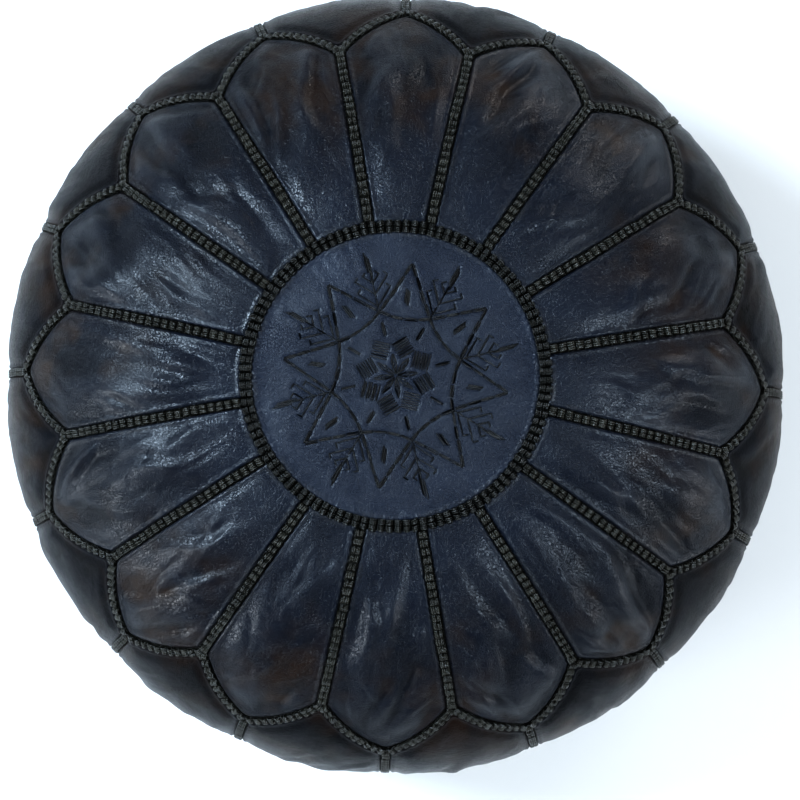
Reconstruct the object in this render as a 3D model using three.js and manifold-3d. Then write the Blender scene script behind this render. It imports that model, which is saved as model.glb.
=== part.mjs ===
// A Moroccan leather pouf: a stuffed round seat, 500 mm across and 300 mm tall.
// A round medallion is ringed by 16 petals, which meet 16 side panels along a zigzag seam. Two half-round
// base panels close it underneath, with a zip between them for the stuffing.
// Millimetres, +Z up, with the origin on the floor at the centre of the base. The zip runs along X.
import * as THREE from "three";
import { mergeVertices } from "three/addons/utils/BufferGeometryUtils.js";
import Module from "manifold-3d";

const wasm = await Module();
wasm.setup();

// ---- Driving dimensions ----
const PANELS = 16;
const GIRTH_RADIUS = 250; // the widest ring of the cover
const HEIGHT = 300;
const GIRTH_HEIGHT = 150;
const CROWN_FLAT_RADIUS = 60; // the middle of the top is flat out to here
const BASE_FLAT_RADIUS = 175; // the underside is flat out to here
const ROUNDNESS = 2.2; // superellipse exponent of the shoulder and of the lower edge
const LEATHER = 1.6;
const SEAM_GAP = 0.8; // from a seam's line to the cut edge of the leather on each side

const RING_RADIUS = 92; // the seam around the medallion
const VALLEY_RADIUS = 208; // where two petals and a side panel meet
const TIP_RADIUS = 233; // where a petal's tip meets two side panels
const BASE_SEAM_RADIUS = 206;
const TIP_POINT = 1.25; // 1 gives a petal two straight end edges, and more rounds them out

const STITCH_WIDTH = 7.5; // the stitched band that covers a seam
const RING_STITCH_WIDTH = 8;
const STITCH_LIFT = 0.9; // the band's underside above the leather
const STITCH_HEIGHT = 2.2;
const STITCH_CROWN = 0.7; // the band's top width as a share of its foot
const BINDING_RADIUS = 1.6; // the cord sewn into the base seam
const BASE_PANEL_GAP = 2.4; // from that cord to the base panels
const BASE_PANEL_END = 20; // half the width of each base panel's square-cut ends

const STUFFING_GAP = 2.2; // from the leather's inner face to the stuffing
// Section (y, z) of the channel that the stuffing leaves free over the zip.
const ZIP_CHANNEL = [[-40, -1], [40, -1], [40, 3.2], [17, 11], [13, 13.5], [-13, 13.5], [-17, 11], [-40, 3.2]];

const ZIP_LENGTH = 330;
const TAPE_LENGTH = 390;
const TAPE_HEIGHT = 9; // the middle of the tape above the floor
const TAPE_THICKNESS = 0.6;
const TAPE_EDGE = 14; // each tape reaches this far from the zip's centre line
const COIL_INNER = 0.5;
const COIL_OUTER = 3;
const COIL_THICKNESS = 2.2;
const ZIP_SLOT = 7; // half the width of the slot between the two base panels
const HEM_EDGE = 14.5; // the panel lies flat against the tape out to here
const VALLEY_EDGE = 34; // the zip's shallow valley runs out to the flat base here

const SLIDER_X = -150;
const SLIDER_LENGTH = 14;
const SLIDER_HALF_WIDTH = 4.2;
const SLIDER_PLATE = 1.2;
const SLIDER_CLEARANCE = 0.3;
const SLIDER_WEB = 0.5; // the web that runs between the two rows of teeth
const BAIL_LENGTH = 8;
const BAIL_WIDTH = 1.6;
const BAIL_TUNNEL = [5.4, 2.1]; // length and height of the hole that the pull hangs in
const BAIL_FLOOR = 0.9;
const PULL_LENGTH = 28;
const PULL_HALF_WIDTH = 3.6;
const PULL_THICKNESS = 1.2;
const PULL_BAR = 0.7; // half the length of the bar that sits in the bail
const PULL_WINDOW = [5.6, 1.3]; // far end and half width of the window around the bail

const HALF_SECTOR = Math.PI / PANELS;

// ---- Materials ----
const material = (color, roughness, metalness = 0) =>
  new THREE.MeshStandardMaterial({ color, roughness, metalness });
const leather = material(0x14171d, 0.45);
const medallionLeather = material(0x171b23, 0.42);
const baseLeather = material(0x121316, 0.6);
const stitching = material(0x1b1a17, 0.7);
const cotton = material(0xcfc6b4, 0.95);
const zipTape = material(0x101113, 0.85);
const zipMetal = material(0x8a8378, 0.35, 1);

// ---- Solids and geometry ----
const signedVolume = (geometry) => {
  const p = geometry.getAttribute("position");
  const index = geometry.index;
  const [a, b, c] = [new THREE.Vector3(), new THREE.Vector3(), new THREE.Vector3()];
  let sum = 0;
  for (let i = 0; i < index.count; i += 3) {
    a.fromBufferAttribute(p, index.getX(i));
    b.fromBufferAttribute(p, index.getX(i + 1));
    c.fromBufferAttribute(p, index.getX(i + 2));
    sum += a.dot(b.cross(c));
  }
  return sum / 6;
};

// A closed geometry from points and triangles, with its faces turned outwards.
const closedGeometry = (points, triangles) => {
  const geometry = new THREE.BufferGeometry().setFromPoints(points);
  geometry.setIndex(triangles);
  if (signedVolume(geometry) < 0) geometry.setIndex([...triangles].reverse());
  geometry.computeVertexNormals();
  return geometry;
};

const solidOf = (source) => {
  const bare = new THREE.BufferGeometry();
  bare.setAttribute("position", source.getAttribute("position").clone());
  if (source.index) bare.setIndex(source.index.clone());
  const merged = mergeVertices(bare, 1e-4);
  return new wasm.Manifold(
    new wasm.Mesh({
      numProp: 3,
      vertProperties: merged.getAttribute("position").array,
      triVerts: new Uint32Array(merged.index.array),
    }),
  );
};

const geometryOf = (solid) => {
  const mesh = solid.getMesh();
  const geometry = new THREE.BufferGeometry();
  geometry.setAttribute("position", new THREE.BufferAttribute(mesh.vertProperties, 3));
  geometry.setIndex(new THREE.BufferAttribute(mesh.triVerts, 1));
  geometry.computeVertexNormals();
  return geometry;
};

const joined = (geometries) =>
  geometryOf(geometries.map(solidOf).reduce((whole, next) => whole.add(next)));

const box = (x0, x1, y0, y1, z0, z1) =>
  new THREE.BoxGeometry(x1 - x0, y1 - y0, z1 - z0)
    .translate((x0 + x1) / 2, (y0 + y1) / 2, (z0 + z1) / 2);

const outline = (points) => new THREE.Shape(points.map(([x, y]) => new THREE.Vector2(x, y)));

const extruded = (shape, depth) =>
  new THREE.ExtrudeGeometry(shape, { depth, bevelEnabled: false, curveSegments: 6 });

// An outline given in the YZ plane, extruded along X and centred on X = 0.
const extrudedAlongX = (shape, length) =>
  extruded(shape, length)
    .rotateX(Math.PI / 2)
    .rotateZ(Math.PI / 2)
    .translate(-length / 2, 0, 0);

// ---- The cover's profile ----
// From the middle of the top, over the shoulder and the girth, to the flat of the base: (radius, height).
class Profile extends THREE.Curve {
  constructor() {
    super();
    this.arcLengthDivisions = 900;
  }

  getPoint(t, target = new THREE.Vector2()) {
    const part = t * 3;
    if (part < 1) return target.set(CROWN_FLAT_RADIUS * part, HEIGHT);
    const power = 2 / ROUNDNESS;
    const a = ((part < 2 ? part - 1 : part - 2) * Math.PI) / 2;
    const rise = Math.sin(a) ** power;
    const fall = Math.max(Math.cos(a), 0) ** power;
    if (part < 2)
      return target.set(
        CROWN_FLAT_RADIUS + (GIRTH_RADIUS - CROWN_FLAT_RADIUS) * rise,
        GIRTH_HEIGHT + (HEIGHT - GIRTH_HEIGHT) * fall,
      );
    return target.set(
      BASE_FLAT_RADIUS + (GIRTH_RADIUS - BASE_FLAT_RADIUS) * fall,
      GIRTH_HEIGHT * (1 - rise),
    );
  }
}

const profile = new Profile();
const profileLength = profile.getLength();

// The profile's point and outward normal at arc length s, as [radius, height, normalRadius, normalHeight].
const profileAt = (s) => {
  const t = profile.getUtoTmapping(s / profileLength);
  const at = profile.getPoint(t);
  const ahead = profile.getPoint(Math.min(t + 1e-4, 1));
  const behind = profile.getPoint(Math.max(t - 1e-4, 0));
  const along = ahead.sub(behind).normalize();
  return [at.x, at.y, -along.y, along.x];
};

// Arc length at which the upper or the lower half of the profile passes a radius.
const arcAtRadius = (radius, lower = false) => {
  let [low, high] = lower ? [2 / 3, 1] : [0, 2 / 3];
  for (let step = 0; step < 40; step++) {
    const middle = (low + high) / 2;
    const outside = profile.getPoint(middle).x > radius;
    if (outside === lower) low = middle;
    else high = middle;
  }
  const lengths = profile.getLengths();
  const at = low * (lengths.length - 1);
  const before = Math.min(Math.floor(at), lengths.length - 2);
  return THREE.MathUtils.lerp(lengths[before], lengths[before + 1], at - before);
};

const ringArc = arcAtRadius(RING_RADIUS);
const valleyArc = arcAtRadius(VALLEY_RADIUS);
const tipArc = arcAtRadius(TIP_RADIUS);
const baseArc = arcAtRadius(BASE_SEAM_RADIUS, true);

const around = (angle, radius, height) =>
  new THREE.Vector3(radius * Math.cos(angle), radius * Math.sin(angle), height);

// A point at arc length s and an angle about Z, lifted off the cover's outer face.
const skinPoint = (angle, s, lift = 0) => {
  const [radius, height, normalRadius, normalHeight] = profileAt(s);
  return around(angle, radius + normalRadius * lift, height + normalHeight * lift);
};

const skinNormal = (angle, s) => {
  const [, , normalRadius, normalHeight] = profileAt(s);
  return around(angle, normalRadius, normalHeight);
};

// ---- Leather panels ----
// A thin closed sheet over a grid: place(u, v) gives [outer point, inner point] for u and v from 0 to 1.
const sheet = (columns, rows, place) => {
  const wide = columns + 1;
  const count = wide * (rows + 1);
  const outer = [];
  const inner = [];
  for (let j = 0; j <= rows; j++)
    for (let i = 0; i <= columns; i++) {
      const [out, into] = place(i / columns, j / rows);
      outer.push(out);
      inner.push(into);
    }
  const triangles = [];
  const quad = (a, b, c, d) => triangles.push(a, b, c, a, c, d);
  for (let j = 0; j < rows; j++)
    for (let i = 0; i < columns; i++) {
      const [a, b] = [j * wide + i, (j + 1) * wide + i];
      quad(a, b, b + 1, a + 1);
      quad(count + a, count + a + 1, count + b + 1, count + b);
    }
  const edge = [];
  for (let j = 0; j < rows; j++) edge.push(j * wide);
  for (let i = 0; i < columns; i++) edge.push(rows * wide + i);
  for (let j = rows; j > 0; j--) edge.push(j * wide + columns);
  for (let i = columns; i > 0; i--) edge.push(i);
  edge.forEach((p, i) => {
    const q = edge[(i + 1) % edge.length];
    quad(q, p, count + p, count + q);
  });
  return closedGeometry([...outer, ...inner], triangles);
};

const skinSheet = (columns, rows, angleAndArc) =>
  sheet(columns, rows, (u, v) => {
    const [angle, s] = angleAndArc(u, v);
    return [skinPoint(angle, s), skinPoint(angle, s, -LEATHER)];
  });

// The zigzag seam: across runs from 0 at a petal's tip to 1 at the valley beside it.
const zigzagArc = (across) => tipArc - (tipArc - valleyArc) * across ** TIP_POINT;

const sideAngle = (s) => HALF_SECTOR - Math.asin(SEAM_GAP / profileAt(s)[0]);

const petal = (centre) =>
  skinSheet(4, 8, (u, v) => {
    const across = 2 * u - 1;
    const start = ringArc + SEAM_GAP;
    const s = start + (zigzagArc(Math.abs(across)) - SEAM_GAP - start) * v;
    return [centre + across * sideAngle(s), s];
  });

const sidePanel = (centre) =>
  skinSheet(4, 10, (u, v) => {
    const across = 2 * u - 1;
    const start = zigzagArc(1 - Math.abs(across)) + SEAM_GAP;
    const s = start + (baseArc - BINDING_RADIUS - SEAM_GAP - start) * v;
    return [centre + across * sideAngle(s), s];
  });

const lathed = (points, segments) => {
  const turned = new THREE.LatheGeometry(points, segments).rotateX(Math.PI / 2);
  return geometryOf(solidOf(turned));
};

const medallion = () => {
  const stops = [0, 0.3, 0.62, 1].map((share) => share * (ringArc - SEAM_GAP));
  const face = (lift) =>
    stops.map((s) => {
      const [radius, height, normalRadius, normalHeight] = profileAt(s);
      return new THREE.Vector2(Math.max(radius + normalRadius * lift, 0), height + normalHeight * lift);
    });
  return lathed([...face(-LEATHER), ...face(0).reverse()], 64);
};

// ---- Stitched bands ----
// A band over a seam. stations are [angle, arc length] pairs along the seam's line.
const band = (stations, width, closed = false) => {
  const at = stations.map(([angle, s]) => skinPoint(angle, s));
  const count = at.length;
  const direction = (from, to) => at[to].clone().sub(at[from]).normalize();
  const points = [];
  stations.forEach(([angle, s], i) => {
    const before = closed || i > 0 ? direction((i + count - 1) % count, i) : null;
    const after = closed || i < count - 1 ? direction(i, (i + 1) % count) : null;
    const along = (before ?? after).clone().add(after ?? before).normalize();
    const normal = skinNormal(angle, s);
    const across = along.clone().cross(normal).normalize();
    const mitre = 1 / Math.max(along.dot(after ?? before), 0.5);
    const corner = (side, lift) =>
      at[i].clone().addScaledVector(across, (side * width * mitre) / 2).addScaledVector(normal, lift);
    points.push(
      corner(-1, STITCH_LIFT),
      corner(1, STITCH_LIFT),
      corner(STITCH_CROWN, STITCH_LIFT + STITCH_HEIGHT),
      corner(-STITCH_CROWN, STITCH_LIFT + STITCH_HEIGHT),
    );
  });
  const triangles = [];
  const quad = (a, b, c, d) => triangles.push(a, b, c, a, c, d);
  for (let i = 0; i < (closed ? count : count - 1); i++) {
    const [a, b] = [i * 4, ((i + 1) % count) * 4];
    for (let k = 0; k < 4; k++) {
      const next = (k + 1) % 4;
      quad(a + k, a + next, b + next, b + k);
    }
  }
  if (!closed) {
    const last = (count - 1) * 4;
    quad(3, 2, 1, 0);
    quad(last, last + 1, last + 2, last + 3);
  }
  return closedGeometry(points, triangles);
};

const stretch = (from, to, steps) =>
  Array.from({ length: steps + 1 }, (_, i) => THREE.MathUtils.lerp(from, to, i / steps));

const ringBand = () =>
  band(stretch(0, 2 * Math.PI, 64).slice(0, -1).map((angle) => [angle, ringArc]), RING_STITCH_WIDTH, true);

const BAND_CLEARANCE = 0.5;
const petalSeamBand = (angle) => {
  const start = ringArc + RING_STITCH_WIDTH / 2 + BAND_CLEARANCE;
  const end = valleyArc - STITCH_WIDTH * 0.75 - BAND_CLEARANCE;
  return band(stretch(start, end, 7).map((s) => [angle, s]), STITCH_WIDTH);
};

// The zigzag band around the shoulder, with a band down each side seam from the petals' tips.
const rimBand = () => {
  const zigzag = [];
  for (let k = 0; k < PANELS; k++)
    for (const step of [0, 0.5, 1, 1.5])
      zigzag.push([(2 * k + step) * HALF_SECTOR, zigzagArc(1 - Math.abs(1 - step))]);
  const end = baseArc - BINDING_RADIUS - SEAM_GAP - BAND_CLEARANCE;
  const sides = Array.from({ length: PANELS }, (_, k) =>
    band(stretch(tipArc + 1, end, 9).map((s) => [2 * k * HALF_SECTOR, s]), STITCH_WIDTH),
  );
  return joined([band(zigzag, STITCH_WIDTH, true), ...sides]);
};

const baseBinding = () => {
  const [radius, height] = profileAt(baseArc);
  return new THREE.TorusGeometry(radius, BINDING_RADIUS, 6, 64).translate(0, 0, height);
};

// ---- Base ----
const smooth = (t) => t * t * (3 - 2 * t);
const lowerRimHeight = (radius) => {
  if (radius <= BASE_FLAT_RADIUS) return 0;
  const out = (radius - BASE_FLAT_RADIUS) / (GIRTH_RADIUS - BASE_FLAT_RADIUS);
  return GIRTH_HEIGHT * (1 - (1 - out ** ROUNDNESS) ** (1 / ROUNDNESS));
};

// The panel's outer face rises beside the zip, so that the slider and pull stay clear of the floor.
const HEM_HEIGHT = TAPE_HEIGHT - TAPE_THICKNESS / 2 - SLIDER_CLEARANCE - LEATHER;
const zipValleyHeight = (y) => {
  const inward = (VALLEY_EDGE - Math.abs(y)) / (VALLEY_EDGE - HEM_EDGE);
  return HEM_HEIGHT * smooth(THREE.MathUtils.clamp(inward, 0, 1));
};

// Rows of the base panel's grid: a few across the zip's valley, and the rest from there to the base seam.
const VALLEY_ROWS = [ZIP_SLOT, HEM_EDGE, (HEM_EDGE + VALLEY_EDGE) / 2, VALLEY_EDGE];
const FLAT_ROWS = [0.45, 0.84, 0.92, 1];
const VALLEY_SHARE = 0.7; // the valley's largest share of a narrow column
const basePanelRow = (row, edge) => {
  const squeeze = Math.min(1, (VALLEY_SHARE * (edge - ZIP_SLOT)) / (VALLEY_EDGE - ZIP_SLOT));
  const valleyY = (y) => ZIP_SLOT + (y - ZIP_SLOT) * squeeze;
  if (row < VALLEY_ROWS.length) return valleyY(VALLEY_ROWS[row]);
  return THREE.MathUtils.lerp(valleyY(VALLEY_EDGE), edge, FLAT_ROWS[row - VALLEY_ROWS.length]);
};

const basePanel = (side) => {
  const edgeRadius = BASE_SEAM_RADIUS - BINDING_RADIUS - BASE_PANEL_GAP;
  const endX = Math.sqrt(edgeRadius ** 2 - BASE_PANEL_END ** 2);
  const rows = VALLEY_ROWS.length + FLAT_ROWS.length - 1;
  return sheet(16, rows, (u, v) => {
    const x = endX * Math.sin((u - 0.5) * Math.PI);
    const y = basePanelRow(Math.round(v * rows), Math.sqrt(edgeRadius ** 2 - x ** 2));
    const z = Math.max(lowerRimHeight(Math.hypot(x, y)), zipValleyHeight(y));
    return [new THREE.Vector3(x, side * y, z), new THREE.Vector3(x, side * y, z + LEATHER)];
  });
};

// ---- Stuffing ----
const stuffing = () => {
  const inset = -(LEATHER + STUFFING_GAP);
  const points = stretch(0, profileLength, 22).map((s) => {
    const [radius, height, normalRadius, normalHeight] = profileAt(s);
    return new THREE.Vector2(Math.max(radius + normalRadius * inset, 0), height + normalHeight * inset);
  });
  const floor = new THREE.Vector2(0, points.at(-1).y);
  const body = new THREE.LatheGeometry([floor, ...points.reverse()], 32).rotateX(Math.PI / 2);
  const channel = extrudedAlongX(outline(ZIP_CHANNEL), 2 * GIRTH_RADIUS);
  return geometryOf(solidOf(body).subtract(solidOf(channel)));
};

// ---- Zip ----
const TAPE_LOW = TAPE_HEIGHT - TAPE_THICKNESS / 2;
const COIL_LOW = TAPE_HEIGHT - COIL_THICKNESS / 2;

// One tape with its row of teeth.
const zipHalf = (side) => {
  const across = (a, b) => (side > 0 ? [a, b] : [-b, -a]);
  const tape = box(
    -TAPE_LENGTH / 2, TAPE_LENGTH / 2,
    ...across(COIL_OUTER - 1, TAPE_EDGE),
    TAPE_LOW, TAPE_LOW + TAPE_THICKNESS,
  );
  const coil = box(
    -ZIP_LENGTH / 2, ZIP_LENGTH / 2,
    ...across(COIL_INNER, COIL_OUTER),
    COIL_LOW, COIL_LOW + COIL_THICKNESS,
  );
  return joined([tape, coil]);
};

const PLATE_TOP = COIL_LOW - SLIDER_CLEARANCE; // the lower plate's upper face
const PLATE_LOW = PLATE_TOP - SLIDER_PLATE;
const UPPER_PLATE_LOW = COIL_LOW + COIL_THICKNESS + SLIDER_CLEARANCE;
const BAR_HEIGHT = PLATE_LOW - BAIL_TUNNEL[1] / 2; // the pull's hinge line

// A rounded plate with a pinched waist, as a slider has.
const sliderPlate = (low) => {
  const [x, y] = [SLIDER_LENGTH / 2, SLIDER_HALF_WIDTH];
  const shape = new THREE.Shape();
  shape.moveTo(-x, -y * 0.7);
  shape.quadraticCurveTo(-x * 0.7, -y, -x * 0.2, -y * 0.92);
  shape.lineTo(x * 0.4, -y);
  shape.quadraticCurveTo(x, -y, x, 0);
  shape.quadraticCurveTo(x, y, x * 0.4, y);
  shape.lineTo(-x * 0.2, y * 0.92);
  shape.quadraticCurveTo(-x * 0.7, y, -x, y * 0.7);
  return extruded(shape, SLIDER_PLATE).translate(0, 0, low);
};

const slider = () => {
  const web = box(-4, 4, -SLIDER_WEB / 2, SLIDER_WEB / 2, PLATE_TOP - 0.5, UPPER_PLATE_LOW + 0.5);
  const [tunnelLength, tunnelHeight] = BAIL_TUNNEL;
  const bail = outline([
    [-BAIL_LENGTH / 2, PLATE_LOW + 0.5],
    [-BAIL_LENGTH / 2, PLATE_LOW - tunnelHeight],
    [-tunnelLength / 2, PLATE_LOW - tunnelHeight - BAIL_FLOOR],
    [tunnelLength / 2, PLATE_LOW - tunnelHeight - BAIL_FLOOR],
    [BAIL_LENGTH / 2, PLATE_LOW - tunnelHeight],
    [BAIL_LENGTH / 2, PLATE_LOW + 0.5],
    [tunnelLength / 2, PLATE_LOW + 0.5],
    [tunnelLength / 2, PLATE_LOW - tunnelHeight],
    [-tunnelLength / 2, PLATE_LOW - tunnelHeight],
    [-tunnelLength / 2, PLATE_LOW + 0.5],
  ]);
  const arch = extruded(bail, BAIL_WIDTH).rotateX(Math.PI / 2).translate(0, BAIL_WIDTH / 2, 0);
  return joined([sliderPlate(PLATE_LOW), sliderPlate(UPPER_PLATE_LOW), web, arch]);
};

// The pull hangs by its end bar in the bail, and is drawn lying towards +X from its hinge line.
const pull = () => {
  const [w, l] = [PULL_HALF_WIDTH, PULL_LENGTH];
  const shape = new THREE.Shape();
  shape.moveTo(-PULL_BAR, -w);
  shape.lineTo(l - w, -w * 0.8);
  shape.absarc(l - w * 0.8, 0, w * 0.8, -Math.PI / 2, Math.PI / 2);
  shape.lineTo(-PULL_BAR, w);
  const [windowEnd, windowHalf] = PULL_WINDOW;
  shape.holes.push(
    new THREE.Path(
      [[PULL_BAR, -windowHalf], [PULL_BAR, windowHalf], [windowEnd, windowHalf], [windowEnd, -windowHalf]]
        .map(([x, y]) => new THREE.Vector2(x, y)),
    ),
  );
  shape.holes.push(new THREE.Path().absarc(l - w * 0.8, 0, 1.3, 0, 2 * Math.PI, true));
  return extruded(shape, PULL_THICKNESS).translate(0, 0, -PULL_THICKNESS / 2);
};

const endStop = () => {
  const x = ZIP_LENGTH / 2 - 5;
  return box(x, x + 4, -3.2, 3.2, PLATE_TOP - 1, PLATE_TOP);
};

// ---- Assembly ----
const pouf = new THREE.Group();
const add = (name, geometry, finish) => {
  const mesh = new THREE.Mesh(geometry, finish);
  mesh.name = name;
  pouf.add(mesh);
  return mesh;
};
const numbered = (name, k) => `${name}_${String(k + 1).padStart(2, "0")}`;

add("medallion", medallion(), medallionLeather);
add("medallion_ring_stitching", ringBand(), stitching);
for (let k = 0; k < PANELS; k++) {
  const petalAngle = 2 * k * HALF_SECTOR;
  const seamAngle = petalAngle + HALF_SECTOR;
  add(numbered("petal", k), petal(petalAngle), leather);
  add(numbered("petal_seam_stitching", k), petalSeamBand(seamAngle), stitching);
  add(numbered("side_panel", k), sidePanel(seamAngle), leather);
}
add("rim_and_side_stitching", rimBand(), stitching);
add("base_seam_binding", baseBinding(), leather);
add("base_panel_rear", basePanel(1), baseLeather);
add("base_panel_front", basePanel(-1), baseLeather);
add("stuffing", stuffing(), cotton);
add("zip_tape_rear", zipHalf(1), zipTape);
add("zip_tape_front", zipHalf(-1), zipTape);
add("zip_end_stop", endStop(), zipMetal);
add("zip_slider", slider(), zipMetal).position.set(SLIDER_X, 0, 0);
add("zip_pull", pull(), zipMetal).position.set(SLIDER_X, 0, BAR_HEIGHT);

export default pouf;
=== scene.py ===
"""A Moroccan leather pouf in black waxed goatskin.

The frame gives the pouf's size and its pieces. This script makes the looks: leather panels that a cloth
simulation puffs out between their seams, hand-made bands of thread stitches, embroidery, and the zip below.
Everything is in metres, +Z up, with the origin on the floor under the middle of the pouf.
"""
import math

import bpy
import numpy as np
from mathutils import Matrix, Vector


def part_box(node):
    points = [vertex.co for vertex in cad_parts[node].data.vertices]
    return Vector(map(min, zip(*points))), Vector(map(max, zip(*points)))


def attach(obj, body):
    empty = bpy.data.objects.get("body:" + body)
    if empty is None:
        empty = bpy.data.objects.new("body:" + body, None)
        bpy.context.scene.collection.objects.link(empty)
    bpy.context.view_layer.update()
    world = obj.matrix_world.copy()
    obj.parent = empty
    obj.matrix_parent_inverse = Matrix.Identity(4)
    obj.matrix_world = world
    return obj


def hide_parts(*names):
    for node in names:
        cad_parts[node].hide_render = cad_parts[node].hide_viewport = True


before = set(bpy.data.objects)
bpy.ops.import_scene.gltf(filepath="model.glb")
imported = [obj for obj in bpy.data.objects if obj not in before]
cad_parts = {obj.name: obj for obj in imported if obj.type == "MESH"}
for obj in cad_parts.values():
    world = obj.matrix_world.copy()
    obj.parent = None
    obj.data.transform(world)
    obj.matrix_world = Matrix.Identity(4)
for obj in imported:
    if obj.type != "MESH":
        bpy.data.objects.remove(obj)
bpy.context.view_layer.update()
BODY = "cover"

# ---- The cover's shape, as the frame has it ----
PANELS = 16
HALF_SECTOR = math.pi / PANELS
GIRTH_RADIUS = 0.250
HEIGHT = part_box("medallion")[1].z
GIRTH_HEIGHT = HEIGHT / 2
CROWN_FLAT_RADIUS = 0.060
BASE_FLAT_RADIUS = 0.175
ROUNDNESS = 2.2  # power of the superellipse between the flat parts and the girth
LEATHER = 0.0016
SEAM_GAP = 0.0008
RING_RADIUS = 0.092
VALLEY_RADIUS = 0.208
TIP_RADIUS = 0.233
TIP_POINT = 1.25  # how sharp the petals' tips are: 1 is straight-sided
BASE_SEAM_RADIUS = 0.206
BINDING_RADIUS = 0.0016
FLAT_STEPS = 80
CURVE_STEPS = 1500


def make_profile():
    """Arc length, radius, height and outward normal along the cover, from the top's middle to the base's."""
    power = 2 / ROUNDNESS
    turn = np.linspace(0, math.pi / 2, CURVE_STEPS)
    rise, fall = np.sin(turn) ** power, np.maximum(np.cos(turn), 0) ** power
    radius = np.concatenate([
        np.linspace(0, CROWN_FLAT_RADIUS, FLAT_STEPS)[:-1],
        CROWN_FLAT_RADIUS + (GIRTH_RADIUS - CROWN_FLAT_RADIUS) * rise,
        BASE_FLAT_RADIUS + (GIRTH_RADIUS - BASE_FLAT_RADIUS) * fall[1:],
    ])
    height = np.concatenate([
        np.full(FLAT_STEPS - 1, HEIGHT),
        GIRTH_HEIGHT + (HEIGHT - GIRTH_HEIGHT) * fall,
        GIRTH_HEIGHT * (1 - rise[1:]),
    ])
    arc = np.concatenate([[0], np.cumsum(np.hypot(np.diff(radius), np.diff(height)))])
    along = np.stack([np.gradient(radius, arc), np.gradient(height, arc)])
    along /= np.linalg.norm(along, axis=0)
    return arc, radius, height, -along[1], along[0]


ARC, RADIUS, RISE, NORMAL_OUT, NORMAL_UP = make_profile()
GIRTH_INDEX = int(np.argmax(RADIUS))


def arc_at(radius):
    """Arc length where the upper half of the profile passes a radius."""
    return np.interp(radius, RADIUS[:GIRTH_INDEX], ARC[:GIRTH_INDEX])


RING_ARC, VALLEY_ARC, TIP_ARC = (float(arc_at(radius)) for radius in (RING_RADIUS, VALLEY_RADIUS, TIP_RADIUS))
BASE_ARC = float(np.interp(-BASE_SEAM_RADIUS, -RADIUS[GIRTH_INDEX:], ARC[GIRTH_INDEX:]))
SIDE_END_ARC = BASE_ARC - BINDING_RADIUS - SEAM_GAP
ZIGZAG_COSINE = math.cos(math.atan2(TIP_ARC - VALLEY_ARC, HALF_SECTOR * (VALLEY_RADIUS + TIP_RADIUS) / 2))


def radius_at(arc):
    return np.interp(arc, ARC, RADIUS)


def skin_normal(angle, arc):
    out, up = np.interp(arc, ARC, NORMAL_OUT), np.interp(arc, ARC, NORMAL_UP)
    return np.stack([out * np.cos(angle), out * np.sin(angle), up + 0 * angle], axis=-1)


def skin_point(angle, arc, lift=0.0):
    """Points on the cover at an angle about Z and an arc length down the profile, lifted off it or sunk."""
    angle, arc = np.broadcast_arrays(np.asarray(angle, float), np.asarray(arc, float))
    radius, height = np.interp(arc, ARC, RADIUS), np.interp(arc, ARC, RISE)
    point = np.stack([radius * np.cos(angle), radius * np.sin(angle), height], axis=-1)
    return point + skin_normal(angle, arc) * np.asarray(lift)[..., None]


def zigzag_arc(across):
    """The zigzag seam's arc length: across is 0 at a petal's tip and 1 at the valley beside it."""
    return TIP_ARC - (TIP_ARC - VALLEY_ARC) * np.clip(across, 0, 1) ** TIP_POINT


# ---- Numbers ----
def smoothstep(low, high, value):
    t = np.clip((value - low) / (high - low), 0, 1)
    return t * t * (3 - 2 * t)


def bell(distance, width):
    return np.exp(-((distance / width) ** 2))


def unit(vectors):
    return vectors / np.maximum(np.linalg.norm(vectors, axis=-1, keepdims=True), 1e-12)


def running_length(points):
    """Distance along a line of points, from its first one."""
    return np.concatenate([[0], np.cumsum(np.linalg.norm(np.diff(points, axis=0), axis=1))])


def value_noise(x, y, seed):
    """Smooth noise from -1 to 1 with features about one unit across."""
    table = np.random.default_rng(seed).uniform(-1, 1, (64, 64))
    x, y = np.asarray(x, float), np.asarray(y, float)
    left, low = np.floor(x).astype(int), np.floor(y).astype(int)
    tx, ty = x - left, y - low
    tx, ty = tx * tx * (3 - 2 * tx), ty * ty * (3 - 2 * ty)

    def corner(i, j):
        return table[(left + i) % 64, (low + j) % 64]

    lower = corner(0, 0) * (1 - tx) + corner(1, 0) * tx
    upper = corner(0, 1) * (1 - tx) + corner(1, 1) * tx
    return lower * (1 - ty) + upper * ty


def layers(x, y, seed, *sizes):
    """A sum of noises. Each size is an amount, a feature's length in x and its length in y."""
    return sum(
        amount * value_noise(x / width, y / length, seed + n)
        for n, (amount, width, length) in enumerate(sizes)
    )


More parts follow.
